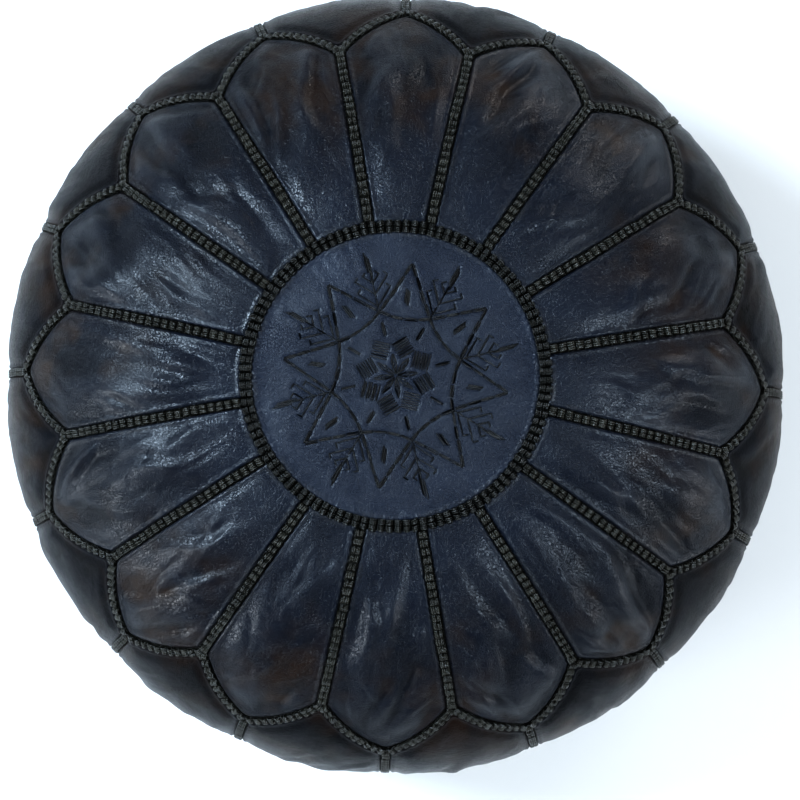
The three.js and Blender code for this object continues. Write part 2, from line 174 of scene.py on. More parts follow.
# ---- Mesh helpers ----
def new_object(name, points, faces, material=None, uv=None):
    """A smooth object. faces is an array, or a list of arrays with different numbers of corners."""
    faces = faces if isinstance(faces, list) else [faces]
    corners = np.concatenate([part.ravel() for part in faces]).astype(np.int32)
    sizes = np.concatenate([np.full(len(part), part.shape[1]) for part in faces])
    points = np.asarray(points, np.float32).reshape(-1, 3)
    mesh = bpy.data.meshes.new(name)
    mesh.vertices.add(len(points))
    mesh.vertices.foreach_set("co", points.ravel())
    mesh.loops.add(len(corners))
    mesh.loops.foreach_set("vertex_index", corners)
    mesh.polygons.add(len(sizes))
    mesh.polygons.foreach_set("loop_start", (np.cumsum(sizes) - sizes).astype(np.int32))
    mesh.update(calc_edges=True)
    mesh.polygons.foreach_set("use_smooth", np.full(len(sizes), True))
    if uv is not None:
        layer = mesh.uv_layers.new(name="UVMap")
        layer.data.foreach_set("uv", np.asarray(uv, np.float32).reshape(-1, 2)[corners].ravel())
    mesh.validate()
    if material:
        mesh.materials.append(material)
    piece = bpy.data.objects.new(name, mesh)
    bpy.context.scene.collection.objects.link(piece)
    return piece


def set_attribute(piece, name, values):
    layer = piece.data.attributes.new(name, "FLOAT", "POINT")
    layer.data.foreach_set("value", np.asarray(values, np.float32).ravel())


def declare(piece, stands_for=None):
    """Every piece rides on the cover. It may stand for a CAD node."""
    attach(piece, BODY)
    if stands_for is not None:
        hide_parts(stands_for)


def grid_faces(rows, columns, first=0, wrap=False, closed=False):
    """Quads of a grid of points, counted from first. wrap joins its outer columns, closed its outer rows."""
    i = np.arange(columns if wrap else columns - 1)
    j = np.arange(rows if closed else rows - 1)[:, None]
    here, below = first + j * columns, first + (j + 1) % rows * columns
    right = (i + 1) % columns
    return np.stack([here + i, below + i, below + right, here + right], axis=-1).reshape(-1, 4)


def shell_faces(rows, columns):
    """Faces of a closed thin sheet whose outer grid comes first and whose inner grid follows it."""
    count = rows * columns
    outer = grid_faces(rows, columns)
    index = np.arange(count).reshape(rows, columns)
    edge = np.concatenate([index[:-1, 0], index[-1, :-1], index[:0:-1, -1], index[0, :0:-1]])
    following = np.roll(edge, -1)
    rim = np.stack([following, edge, edge + count, following + count], axis=-1)
    return np.concatenate([outer, (outer + count)[:, ::-1], rim])


def sheet_object(name, outer, inner, material, uv, rub_and_highlight, flipped=False):
    """A closed thin sheet from its outer and inner grids of points, with a mask of paler edges on the outer one:
    partly rubbing, partly painted highlight.
    """
    faces = shell_faces(*outer.shape[:2])
    if flipped:
        faces = faces[:, ::-1]
    points = np.concatenate([outer.reshape(-1, 3), inner.reshape(-1, 3)])
    piece = new_object(name, points, faces, material, np.concatenate([uv, uv]))
    set_attribute(piece, "rub_and_highlight", np.concatenate([rub_and_highlight, 0 * rub_and_highlight]))
    return piece


def grid_normals(points, outward):
    """Unit normals of a grid of points, turned to the side that outward points to."""
    normal = unit(np.cross(np.gradient(points, axis=0), np.gradient(points, axis=1)))
    facing = np.sign((normal * outward).sum(-1, keepdims=True))
    return normal * np.where(facing == 0, 1, facing)


def cubic_weights(fine, coarse_count):
    """Matrix that samples evenly spaced values, from 0 to 1, at the places in fine (Catmull-Rom)."""
    place = np.clip(fine, 0, 1) * (coarse_count - 1)
    start = np.minimum(place.astype(int), coarse_count - 2)
    t = place - start
    weights = (
        -0.5 * t + t**2 - 0.5 * t**3,
        1 - 2.5 * t**2 + 1.5 * t**3,
        0.5 * t + 2 * t**2 - 1.5 * t**3,
        -0.5 * t**2 + 0.5 * t**3,
    )
    matrix = np.zeros((len(fine), coarse_count))
    for k, weight in enumerate(weights):
        column = np.clip(start + k - 1, 0, coarse_count - 1)
        np.add.at(matrix, (np.arange(len(fine)), column), weight)
    return matrix


GRADED_EDGE = 0.008


def graded(length, edge_step, middle_step):
    """Places from 0 to 1 along a length, close together near both ends."""
    near = np.arange(0, GRADED_EDGE, edge_step)
    steps = max(2, round((length - 2 * GRADED_EDGE) / middle_step))
    middle = np.linspace(GRADED_EDGE, length - GRADED_EDGE, steps)
    return np.concatenate([near, middle, length - near[::-1]]) / length


# ---- Leather panels: where each grid point lies ----
def side_angle(arc):
    return HALF_SECTOR - np.arcsin(SEAM_GAP / radius_at(arc))


def spread(centre, across, v, start, end):
    """Angle, arc length and distance to the side seams of a grid that runs from start to end."""
    arc = start + (end - start) * v[:, None]
    side = (1 - np.abs(across)) * side_angle(arc) * radius_at(arc) + SEAM_GAP
    return centre + across * side_angle(arc), arc, side


def petal_place(centre, u, v):
    """Angle, arc length and distance to the nearest seam of a petal's grid, u across and v down, 0 to 1."""
    across = 2 * u[None, :] - 1
    end = zigzag_arc(np.abs(across)) - SEAM_GAP
    angle, arc, side = spread(centre, across, v, RING_ARC + SEAM_GAP, end)
    zigzag = (end - arc) * ZIGZAG_COSINE + SEAM_GAP
    return angle, arc, np.minimum(np.minimum(side, zigzag), arc - RING_ARC)


def side_place(centre, u, v):
    """The same for a side panel, whose top edge runs from a valley down to a petal's tip on either hand."""
    across = 2 * u[None, :] - 1
    start = zigzag_arc(1 - np.abs(across)) + SEAM_GAP
    angle, arc, side = spread(centre, across, v, start, SIDE_END_ARC)
    zigzag = (arc - start) * ZIGZAG_COSINE + SEAM_GAP
    return angle, arc, np.minimum(np.minimum(side, zigzag), SIDE_END_ARC - arc + SEAM_GAP)


# turn and top are where a kind's first panel starts, as an angle and an arc length past the ring.
# coarse and fine are its grids' rows and columns: the first is simulated, the second is the finished surface.
# fold_from and fold_to are distances down the panel, and fan turns the folds at the sides outwards.
# slack is the spare leather at the top and at the bottom, and puff how much of the simulation is kept.
# The last two are where, down the panel, the painted blue sheen begins to fade as brown hide shows, and the
# leather to shine.
PANEL_KINDS = {
    "petal": dict(
        place=petal_place, turn=0.0, top=0.0, coarse=(36, 21),
        fine=(graded(0.160, 0.0009, 0.0021), graded(0.084, 0.0009, 0.0019)),
        broad_folds=8, narrow_folds=26, fold_from=0.035, fold_to=0.150, fold_spread=0.036, fold_depth=1.25,
        fan=6.0, slack=(0.006, 0.040), puff=1.0, swell=0.0, slump=0.0022, bare=(0.02, 0.12), polish=(0.5, 0.6),
    ),
    "side_panel": dict(
        place=side_place, turn=HALF_SECTOR, top=VALLEY_ARC - RING_ARC, coarse=(58, 23),
        fine=(graded(0.275, 0.001, 0.0026), graded(0.098, 0.001, 0.0023)),
        broad_folds=12, narrow_folds=40, fold_from=0.010, fold_to=0.290, fold_spread=0.045, fold_depth=0.6,
        fan=0.0, slack=(0.020, 0.022), puff=0.3, swell=0.0016, slump=0.0008, bare=(-0.2, -0.1),
        polish=(0.03, 0.12),
    ),
}


def panel_centre(kind, k):
    return 2 * k * HALF_SECTOR + PANEL_KINDS[kind]["turn"]


def panel_grid(kind, k, u, v):
    return PANEL_KINDS[kind]["place"](panel_centre(kind, k), u, v)


def panel_metres(kind, k, angle, arc):
    """Distances across a panel from its middle, and down it from the top of its upper edge."""
    return (angle - panel_centre(kind, k)) * radius_at(arc), arc - RING_ARC - PANEL_KINDS[kind]["top"]


def panel_seed(kind, k):
    return 1000 * (1 + list(PANEL_KINDS).index(kind)) + k


# ---- Leather panels: cloth simulation ----
HELD = 0.0042  # the stitches hold the leather this far from a seam's line
SIM_FRAMES = 20
SIM_SCALE = 20  # the solver behaves best on a cloth whose edges are about 0.1 m long
FOUNDATION = 0.04  # how firmly the stuffing holds the leather where it is
CLOTH = dict(
    quality=5, mass=0.3, tension_stiffness=15, compression_stiffness=15, shear_stiffness=5,
    bending_stiffness=0.02, tension_damping=5, compression_damping=5, shear_damping=5, bending_damping=0.5,
    air_damping=1,
    vertex_group_mass="held", pin_stiffness=1.0, use_pressure=True, uniform_pressure_force=2.2,
)


def slack_cloth(kind, k, angle, arc, draw):
    """Points of a panel as it was cut: wider than its place between the seams, and a little longer."""
    near, far = PANEL_KINDS[kind]["slack"]
    along = panel_metres(kind, k, angle, arc)[1]
    slack = (near + (far - near) * smoothstep(0.03, 0.13, along)) * draw.uniform(0.7, 1.25)
    centre, middle = panel_centre(kind, k), arc.mean()
    longer = 1 + draw.uniform(0, 0.006)
    return skin_point(centre + (angle - centre) * (1 + slack), middle + (arc - middle) * longer)


def simulate_panels():
    """Coarse grids of how far every petal and side panel moves as it is stuffed: {(kind, k): offsets}."""
    points, start, rest, held, faces, parts, first = [], [], [], [], [], [], 0
    draw = np.random.default_rng(7)
    for kind, k in [(kind, k) for kind in PANEL_KINDS for k in range(PANELS)]:
        rows, columns = PANEL_KINDS[kind]["coarse"]
        angle, arc, seam = panel_grid(kind, k, np.linspace(0, 1, columns), np.linspace(0, 1, rows))
        across, along = panel_metres(kind, k, angle, arc)
        free = smoothstep(HELD, HELD + 0.008, seam)
        swell = 0.001 * value_noise(across / 0.03, along / 0.03 + k, panel_seed(kind, k)) * free
        points.append(skin_point(angle, arc).reshape(-1, 3))
        start.append(skin_point(angle, arc, swell).reshape(-1, 3))
        rest.append(slack_cloth(kind, k, angle, arc, draw).reshape(-1, 3))
        held.append((seam < HELD).ravel())
        faces.append(grid_faces(*angle.shape, first))
        parts.append(((kind, k), first, angle.shape))
        first += angle.size
    points, start, rest, held = map(np.concatenate, (points, start, rest, held))
    cloth = new_object("simulation", start * SIM_SCALE, np.concatenate(faces))
    cloth.shape_key_add(name="Basis")
    key = cloth.shape_key_add(name="rest")
    key.data.foreach_set("co", (rest * SIM_SCALE).astype(np.float32).ravel())
    key.value = 0.0
    pins = cloth.vertex_groups.new(name="held")
    pins.add(np.flatnonzero(held).tolist(), 1.0, "REPLACE")
    pins.add(np.flatnonzero(~held).tolist(), FOUNDATION, "REPLACE")
    modifier = cloth.modifiers.new("Cloth", "CLOTH")
    for setting, value in CLOTH.items():
        setattr(modifier.settings, setting, value)
    modifier.settings.rest_shape_key = key
    modifier.settings.effector_weights.gravity = 0
    modifier.collision_settings.use_collision = False
    modifier.point_cache.frame_end = SIM_FRAMES
    for step in range(1, SIM_FRAMES + 1):
        bpy.context.scene.frame_set(step)
    result = np.empty(len(points) * 3, np.float32)
    evaluated = cloth.evaluated_get(bpy.context.evaluated_depsgraph_get())
    evaluated.data.vertices.foreach_get("co", result)
    moved = result.reshape(-1, 3).astype(float) / SIM_SCALE - points
    bpy.data.objects.remove(cloth)
    bpy.context.scene.frame_set(1)
    return {
        name: moved[at:at + rows * columns].reshape(rows, columns, 3) * PANEL_KINDS[name[0]]["puff"]
        for name, at, (rows, columns) in parts
    }


# ---- Leather panels: the finished surface ----
TUCK_DEPTH = 0.0016
LIP_HEIGHT = 0.0010
LIP_PLACE = 0.0048
LIP_WIDTH = 0.0013
STITCH_PITCH = 0.0053
FLOOR_GAP = 0.0004  # the leather stays this far above the floor

# A fold's reach, width and depth are drawn from these ranges, in this order.
BROAD_FOLD = ((0.022, 0.040), (0.0045, 0.0075), (0.0008, 0.0019))
NARROW_FOLD = ((0.009, 0.024), (0.0015, 0.0030), (0.0002, 0.0006))


def folds(across, along, facts, seed):
    """Creases in a panel: a few broad ridges and many narrow ones, most of them leaning the same way."""
    draw = np.random.default_rng(seed)
    total = np.zeros(np.broadcast(across, along).shape)
    spread_across = facts["fold_spread"]
    panel_lean = draw.normal(0, 0.22)
    for ranges in [BROAD_FOLD] * facts["broad_folds"] + [NARROW_FOLD] * facts["narrow_folds"]:
        x = draw.uniform(-spread_across, spread_across)
        y = draw.uniform(facts["fold_from"], facts["fold_to"])
        lean = panel_lean + draw.normal(0, 0.25) - x * facts["fan"]
        reach, width, depth = (draw.uniform(*limits) for limits in ranges)
        p = (along - y) * math.cos(lean) + (across - x) * math.sin(lean)
        wander = 0.10 * reach * np.sin(p / (0.45 * reach) + draw.uniform(0, 6))
        q = (across - x) * math.cos(lean) - (along - y) * math.sin(lean) + wander
        steep = np.where(q * draw.choice([-1, 1]) > 0, width * 0.62, width * 1.25)
        t = np.abs(q / steep)
        ridge = np.exp(-(t**1.6)) - 0.45 * bell(t - 2.0, 0.9)
        total += depth * draw.choice([1, 1, -0.7]) * ridge * bell(p, reach)
    return total * facts["fold_depth"]


def lip_lift(seam, along):
    """How the leather's edge dives under the stitches and stands up beside them, puckered at each stitch."""
    tuck = -TUCK_DEPTH * (1 - smoothstep(0.0008, 0.0034, seam))
    pucker = 0.75 + 0.25 * np.cos(2 * math.pi * along / STITCH_PITCH)
    return tuck + LIP_HEIGHT * pucker * bell(seam - LIP_PLACE, LIP_WIDTH)


def lip_rub_and_highlight(seam):
    """Where the raised edge beside the stitches is paler: partly leather pale from rubbing, partly a painted
    highlight where the edge catches the light.
    """
    return bell(seam - LIP_PLACE - 0.0004, 0.0012)


def puckers(across, along, seam, end_gap, seed):
    """Short gathers that run away from the seams: down the panel from its ends, sideways from its sides."""
    from_end = layers(across, along, seed + 11, (1, 0.0062, 0.06), (0.6, 0.0034, 0.04))
    strength = smoothstep(-0.5, 0.6, value_noise(across / 0.02, 3.5, seed + 13))
    ends = 0.00050 * from_end * strength * np.exp(-end_gap / 0.017)
    from_side = value_noise(along / 0.0075, across / 0.03, seed + 14)
    strength = smoothstep(0.0, 0.8, value_noise(along / 0.03, 8.5 + np.sign(across), seed + 15))
    return ends + 0.00045 * from_side * strength * np.exp(-seam / 0.009)


def fine_wrinkles(across, along, seed):
    """Narrow wrinkles that run mostly down the panel, in patches."""
    bend = 0.004 * value_noise(across / 0.03, along / 0.03, seed + 1)
    lean = across + 0.25 * along * value_noise(across / 0.08 + 9, along / 0.08, seed + 2) + bend
    lines = layers(lean, along, seed + 3, (1, 0.0042, 0.026), (0.5, 0.0024, 0.018))
    patch = smoothstep(-0.1, 0.7, value_noise(across / 0.028, along / 0.045, seed + 5))
    return 0.00030 * lines * patch


def slumps(across, along, seed):
    """Soft hollows and swells, a few to a panel."""
    large = value_noise(across / 0.026 + 0.5, along / 0.034, seed + 21)
    return large + 0.35 * value_noise(across / 0.012, along / 0.018, seed + 22)


def finished_panel(kind, k, moved, material):
    """One leather panel: the simulated shape with its lips, folds and wrinkles, as a closed sheet."""
    facts, seed = PANEL_KINDS[kind], panel_seed(kind, k)
    fine_v, fine_u = facts["fine"]
    rows, columns = facts["coarse"]
    angle, arc, seam = panel_grid(kind, k, fine_u, fine_v)
    across, along = panel_metres(kind, k, angle, arc)
    down, sideways = cubic_weights(fine_v, rows), cubic_weights(fine_u, columns)
    offset = np.einsum("ia,abc,jb->ijc", down, moved[kind, k], sideways)
    outer = skin_point(angle, arc, facts["swell"] * smoothstep(0.002, 0.014, seam)) + offset
    normal = grid_normals(outer, skin_normal(angle, arc))
    end_gap = arc.max(axis=0) - arc
    if kind == "side_panel":
        end_gap = np.minimum(end_gap, arc - arc.min(axis=0))
    away = smoothstep(HELD, LIP_PLACE + 0.010, seam)
    slump = facts["slump"] * slumps(across, along, seed)
    lift = lip_lift(seam, arc) + fine_wrinkles(across, along, seed) * (0.25 + 0.75 * away)
    lift = lift + slump * smoothstep(0.015, 0.085, along) * smoothstep(0.005, 0.020, seam)
    lift = lift + folds(across, along, facts, seed) * away
    lift = lift + puckers(across, along, seam, end_gap, seed) * smoothstep(0.003, 0.007, seam)
    outer = outer + normal * lift[..., None]
    outer[..., 2] = np.maximum(outer[..., 2], FLOOR_GAP)
    inner = outer - normal * LEATHER
    inner[..., 2] = np.maximum(inner[..., 2], 2 * FLOOR_GAP)
    uv = np.stack([across + 0.31 * k, along + 0.17 * k], axis=-1)
    # The lips beside the stitches are paler: partly rubbing, partly a painted highlight.
    piece = sheet_object(f"{kind}_leather_{k + 1:02d}", outer, inner, material, uv, lip_rub_and_highlight(seam))
    # Down the panel the painted blue sheen fades and brown hide shows, most in the fold hollows: the missing
    # sheen there is painted shade.
    hollow = smoothstep(0.0006, -0.0008, lift)
    brown_and_sheen_fade = smoothstep(*facts["bare"], along) * (0.5 + 0.5 * hollow)
    polish = smoothstep(*facts["polish"], along) + 0 * lift
    set_attribute(piece, "brown_and_sheen_fade", np.concatenate([brown_and_sheen_fade, brown_and_sheen_fade]))
    set_attribute(piece, "polish", np.concatenate([polish, polish]))
    declare(piece, f"{kind}_{k + 1:02d}")


# ---- Medallion and embroidery ----
MEDALLION_RADIUS = RING_RADIUS - SEAM_GAP
MEDALLION_ROWS = 171
MOTIF_RADIUS = 0.088  # the part of the medallion that shows inside the ring of stitches
STAR_POINTS = 8
FIRST_TIP = math.radians(38.1)  # the star's first tip, from +X
THREAD = 0.00046  # radius of the embroidery thread
THREAD_SPACING = 2.05  # between a bundle's threads, in thread radii
EMBROIDERY_STITCH = 0.0085
STITCH_GAP = 0.0003
STITCH_JITTER = 0.00012
ONE_STITCH = 0.02  # longer than any short line of the motif, so such a line is one stitch
motif_draw = np.random.default_rng(31)


def polar(share, turn):
    return np.array([math.cos(turn), math.sin(turn)]) * share * MOTIF_RADIUS


def way(turn):
    return polar(1, turn) / MOTIF_RADIUS


def bundle(points, threads, stitch=ONE_STITCH, stagger=0.0):
    """Stitches of several threads side by side along a line: a list of (start, end) pairs.

    Each thread starts stagger further along the line than its neighbour."""
    points = np.asarray(points, float)
    distance = running_length(points)
    at = np.linspace(0, distance[-1], max(1, round(distance[-1] / stitch)) + 1)
    line = np.stack([np.interp(at, distance, points[:, i]) for i in (0, 1)], axis=-1)
    result = []
    for a, b in zip(line[:-1], line[1:]):
        along = (b - a) / np.linalg.norm(b - a)
        side = np.array([-along[1], along[0]])
        for t in range(threads):
            lane = t - (threads - 1) / 2
            shift = side * lane * THREAD * THREAD_SPACING + motif_draw.normal(0, STITCH_JITTER, 2)
            shift = shift + along * lane * stagger
            result.append((a + shift + along * STITCH_GAP, b + shift - along * STITCH_GAP))
    return result


def curve_through(*points, steps=16):
    """A smooth line through a few points (Catmull-Rom)."""
    points = np.array([2 * points[0] - points[1], *points, 2 * points[-1] - points[-2]])
    t = np.linspace(0, 1, steps)[:, None]
    spans = []
    for a, b, c, d in zip(points[:-3], points[1:-2], points[2:-1], points[3:]):
        curve = 2 * b + (c - a) * t + (2 * a - 5 * b + 4 * c - d) * t**2 + (3 * b - a - 3 * c + d) * t**3
        spans.append(0.5 * curve)
    return np.concatenate(spans)


def branch_stitches(arm, eighth):
    """A snowflake's branch between two tips of the star: a stem with three pairs of side branches."""
    result = bundle([polar(0.285, arm), polar(0.39, arm)], 2)
    result += bundle([polar(0.475, arm), polar(0.73, arm)], 1, EMBROIDERY_STITCH)
    result += bundle([polar(0.72, arm), polar(0.87, arm)], 3, stagger=0.0016)
    for share, length in ((0.50, 0.165), (0.585, 0.165), (0.665, 0.08)):
        for side in (-1, 1):
            foot = polar(share, arm)
            end = foot + way(arm + side * eighth) * length * MOTIF_RADIUS
            tick = way(arm - side * eighth)
            result += bundle([foot, end], 1)
            result += bundle([end - tick * 0.0006, end + tick * 0.0034], 1)
    return result


def square_and_petal_stitches(square, eighth, swapped):
    """A square of parallel stitches, and the petal of the middle flower beside it."""
    middle = polar(0.206, square)
    lengthwise, widthwise = way(square + eighth), way(square - eighth)
    if swapped:
        lengthwise, widthwise = widthwise, lengthwise
    result = []
    for shift in np.linspace(-0.0047, 0.0047, 7):
        foot = middle + widthwise * shift
        result += bundle([foot - lengthwise * 0.0055, foot + lengthwise * 0.0055], 1)
    leaf = square + eighth / 2
    for side in (-1, 1):
        edge = curve_through(polar(0.012, leaf), polar(0.085, leaf + side * 0.20), polar(0.155, leaf))
        result += bundle(edge, 1, 0.007)
    return result + bundle([polar(0.065, leaf), polar(0.105, leaf)], 1)


def embroidery_stitches():
    """The star's outline, with a dash, a branch, a square and a flower's petal for each of its tips."""
    eighth = 2 * math.pi / STAR_POINTS
    result = []
    for k in range(STAR_POINTS):
        tip = FIRST_TIP + k * eighth
        result += bundle(curve_through(
            polar(0.79, tip), polar(0.462, tip + eighth / 2), polar(0.40, tip + eighth),
            polar(0.462, tip + 1.5 * eighth), polar(0.79, tip + 2 * eighth),
        ), 2, EMBROIDERY_STITCH)
        result += bundle([polar(0.50, tip), polar(0.61, tip)], 3, stagger=0.0008)
        result += branch_stitches(tip + eighth / 2, eighth)
        result += square_and_petal_stitches(tip - math.radians(6), eighth, k % 2)
    return result


MOTIF = embroidery_stitches()


def distance_to_motif(x, y):
    nearest = np.full(x.shape, 1.0)
    for a, b in MOTIF:
        along = b - a
        t = np.clip(((x - a[0]) * along[0] + (y - a[1]) * along[1]) / (along @ along), 0, 1)
        nearest = np.minimum(nearest, np.hypot(x - a[0] - t * along[0], y - a[1] - t * along[1]))
    return nearest


def medallion_lift(x, y, with_grooves=True):
    """How far the medallion's surface stands off the cover's profile."""
    distance = np.hypot(x, y)
    seam = RING_RADIUS - distance
    turn = np.arctan2(y, x)
    swell = 0.0016 * smoothstep(0.004, 0.045, seam)
    swell = swell + 0.0005 * value_noise(x / 0.030 + 40, y / 0.030 + 40, 61) * smoothstep(0.004, 0.02, seam)
    gathers = 0.00028 * value_noise(turn * 22 + 60, distance / 0.03, 62)
    gathers = gathers * np.exp(-np.maximum(seam - 0.006, 0) / 0.012)
    lift = swell + gathers * smoothstep(0.003, 0.007, seam) + lip_lift(seam, turn * RING_RADIUS)
    if with_grooves:
        near = distance_to_motif(x, y)
        lift = lift - 0.00045 * bell(near, 0.0008) + 0.00010 * bell(near - 0.0026, 0.0014)
    return lift


def medallion_point(x, y, lift):
    return skin_point(np.arctan2(y, x), arc_at(np.hypot(x, y)), lift)


def disc_grid(count, radius):
    """A square grid of points spread evenly over a disc."""
    a, b = np.meshgrid(np.linspace(-1, 1, count), np.linspace(-1, 1, count), indexing="ij")
    larger = np.abs(a) > np.abs(b)
    r = np.where(larger, a, b)
    safe = np.where(r == 0, 1, r)
    turn = np.where(larger, math.pi / 4 * b / safe, math.pi / 2 - math.pi / 4 * a / safe)
    return radius * r * np.cos(turn), radius * r * np.sin(turn)


def make_medallion(material):
    x, y = disc_grid(MEDALLION_ROWS, MEDALLION_RADIUS)
    lift = medallion_lift(x, y) + fine_wrinkles(x, y, 90) * 0.35
    outer, inner = medallion_point(x, y, lift), medallion_point(x, y, lift - LEATHER)
    # Its raised edge by the ring is paler: partly rubbing, partly a painted highlight.
    rub_and_highlight = lip_rub_and_highlight(RING_RADIUS - np.hypot(x, y))
    piece = sheet_object("medallion_leather", outer, inner, material, np.stack([x, y], axis=-1), rub_and_highlight)
    declare(piece, "medallion")


# ---- Threads ----
def tubes(centres, across, up, radius, sides=6):
    """Closed tubes around centre lines. centres is tubes x stations x 3, radius is tubes x stations.

    Gives points, side faces, end faces, uv and the number of points in a tube."""
    count, stations = centres.shape[:2]
    turn = np.arange(sides) * 2 * math.pi / sides
    ring = np.cos(turn)[:, None] * across[:, :, None] + np.sin(turn)[:, None] * up[:, :, None]
    points = centres[:, :, None] + ring * radius[:, :, None, None]
    ends = np.stack([centres[:, 0], centres[:, -1]], axis=1)
    points = np.concatenate([points.reshape(count, stations * sides, 3), ends], axis=1)
    tip = stations * sides
    last = tip - sides
    i = np.arange(sides)
    following = (i + 1) % sides
    caps = np.concatenate([
        np.stack([i, following, np.full(sides, tip)], axis=-1),
        np.stack([last + following, last + i, np.full(sides, tip + 1)], axis=-1),
    ])
    shift = (np.arange(count) * (tip + 2))[:, None, None]
    quads = (grid_faces(stations, sides, wrap=True)[None] + shift).reshape(-1, 4)
    caps = (caps[None] + shift).reshape(-1, 3)
    around = np.broadcast_to(turn / (2 * math.pi), (count, stations, sides))
    steps = np.linalg.norm(np.diff(centres, axis=1), axis=-1)
    length = np.concatenate([np.zeros((count, 1)), np.cumsum(steps, 1)], 1)
    uv = np.stack([np.broadcast_to(length[:, :, None], around.shape), around], -1).reshape(count, -1, 2)
    uv = np.concatenate([uv, np.zeros((count, 2, 2))], axis=1)
    return points.reshape(-1, 3), quads, caps, uv.reshape(-1, 2), tip + 2


def thread_object(name, strands, material):
    """One mesh from pairs of a tubes() result and a shade for each of its tubes."""
    points, quads, caps, uvs, shades, first = [], [], [], [], [], 0
    for (tube_points, tube_quads, tube_caps, tube_uv, per_tube), tube_shades in strands:
        points.append(tube_points)
        quads.append(tube_quads + first)
        caps.append(tube_caps + first)
        uvs.append(tube_uv)
        shades.append(np.repeat(tube_shades, per_tube))
        first += len(tube_points)
    points, quads, caps, uvs, shades = map(np.concatenate, (points, quads, caps, uvs, shades))
    piece = new_object(name, points, [quads, caps], material, uvs)
    set_attribute(piece, "shade", shades)
    return piece


def make_embroidery(material):
    ends = np.array(MOTIF)
    t = np.array([0, 0.06, 0.2, 0.5, 0.8, 0.94, 1])
    flat = ends[:, :1] + (ends[:, 1:] - ends[:, :1]) * t[None, :, None]
    height = 0.00015 - 0.0007 * np.abs(2 * t - 1) ** 6
    lift = medallion_lift(flat[..., 0], flat[..., 1], with_grooves=False) + height
    centres = medallion_point(flat[..., 0], flat[..., 1], lift)
    along = unit(np.gradient(centres, axis=1))
    across = unit(np.cross(along, np.array([0.0, 0.0, 1.0])))
    radius = THREAD * (0.7 + 0.3 * np.sin(math.pi * np.clip(t, 0.05, 0.95))) * np.ones((len(ends), 1))
    threads = tubes(centres, across, np.cross(across, along), radius, sides=8)
    piece = thread_object("embroidery", [(threads, motif_draw.uniform(0, 1, len(ends)))], material)
    declare(piece)


# ---- Stitched bands ----
BAND_WIDTH = 0.0075
RING_BAND_WIDTH = 0.0088
RING_PITCH = 0.0052
CORE_HEIGHT = 0.0006
CORE_SHARE = 0.40  # half the core's width, as a share of the band's
WANDER = 0.0005  # how far a band strays from its seam, over WANDER_LENGTH
WANDER_LENGTH = 0.024

# Strands lie lengthwise. Their stations are shares of a unit's length, with a height and a thickness at each.
BEAD_RADIUS = 0.00064
BEAD_TOP = 0.0017  # height of the strands' middle line above the seam
BAND_CROWN = 26  # the strands' height falls by this, times the square of their distance from the band's middle
BEAD_STATIONS = np.array([-0.5, -0.40, -0.22, 0, 0.22, 0.40, 0.5])
BEAD_ARCH = np.array([-0.0017, -0.00045, 0.00055, 0.00085, 0.00055, -0.00045, -0.0017])
BEAD_THICKNESS = np.array([0.75, 0.95, 1.08, 1.1, 1.08, 0.95, 0.75])
FOUR_STRANDS = (-0.00188, -0.00074, 0.00074, 0.00188)
RING_STRANDS = (-0.00330, -0.00205, -0.00085, 0.00085, 0.00205, 0.00330)

# Wraps cross the whole band between two units. Side wraps hold the band's edges, several to a unit.
WRAP_RADIUS = 0.00048
WRAP_SHIFTS = (-0.12, 0.0, 0.12)
WRAP_STATIONS = np.array([-1, -0.94, -0.66, 0, 0.66, 0.94, 1])
WRAP_HEIGHTS = np.array([-0.0012, -0.0001, 0.0004, 0.0005, 0.0004, -0.0001, -0.0012])
SIDE_WRAP_RADIUS = 0.00036
SIDE_WRAP_START = 0.0024
SIDE_WRAP_SHIFTS = (-0.30, -0.14, 0.02, 0.18, 0.34)
SIDE_WRAP_STATIONS = np.array([0, 0.35, 0.75, 1])
SIDE_WRAP_HEIGHTS = np.array([0.0012, 0.0011, 0.0003, -0.0011])


def band_frames(angle, arc):
    """Points, and unit vectors along, across and out, on a line over the cover."""
    points = skin_point(angle, arc)
    normal = skin_normal(angle, arc)
    along = np.gradient(points, axis=0)
    along = unit(along - normal * (along * normal).sum(-1, keepdims=True))
    return points, along, np.cross(normal, along), normal


def resampled(angle, arc, pitch, closed):
    """Evenly spaced places along a line over the cover, about pitch apart, and how far apart they are."""
    distance = running_length(skin_point(angle, arc))
    count = max(2, round(distance[-1] / pitch))
    at = (np.arange(count) + (0 if closed else 0.5)) * distance[-1] / count
    return np.interp(at, distance, angle), np.interp(at, distance, arc), distance[-1] / count


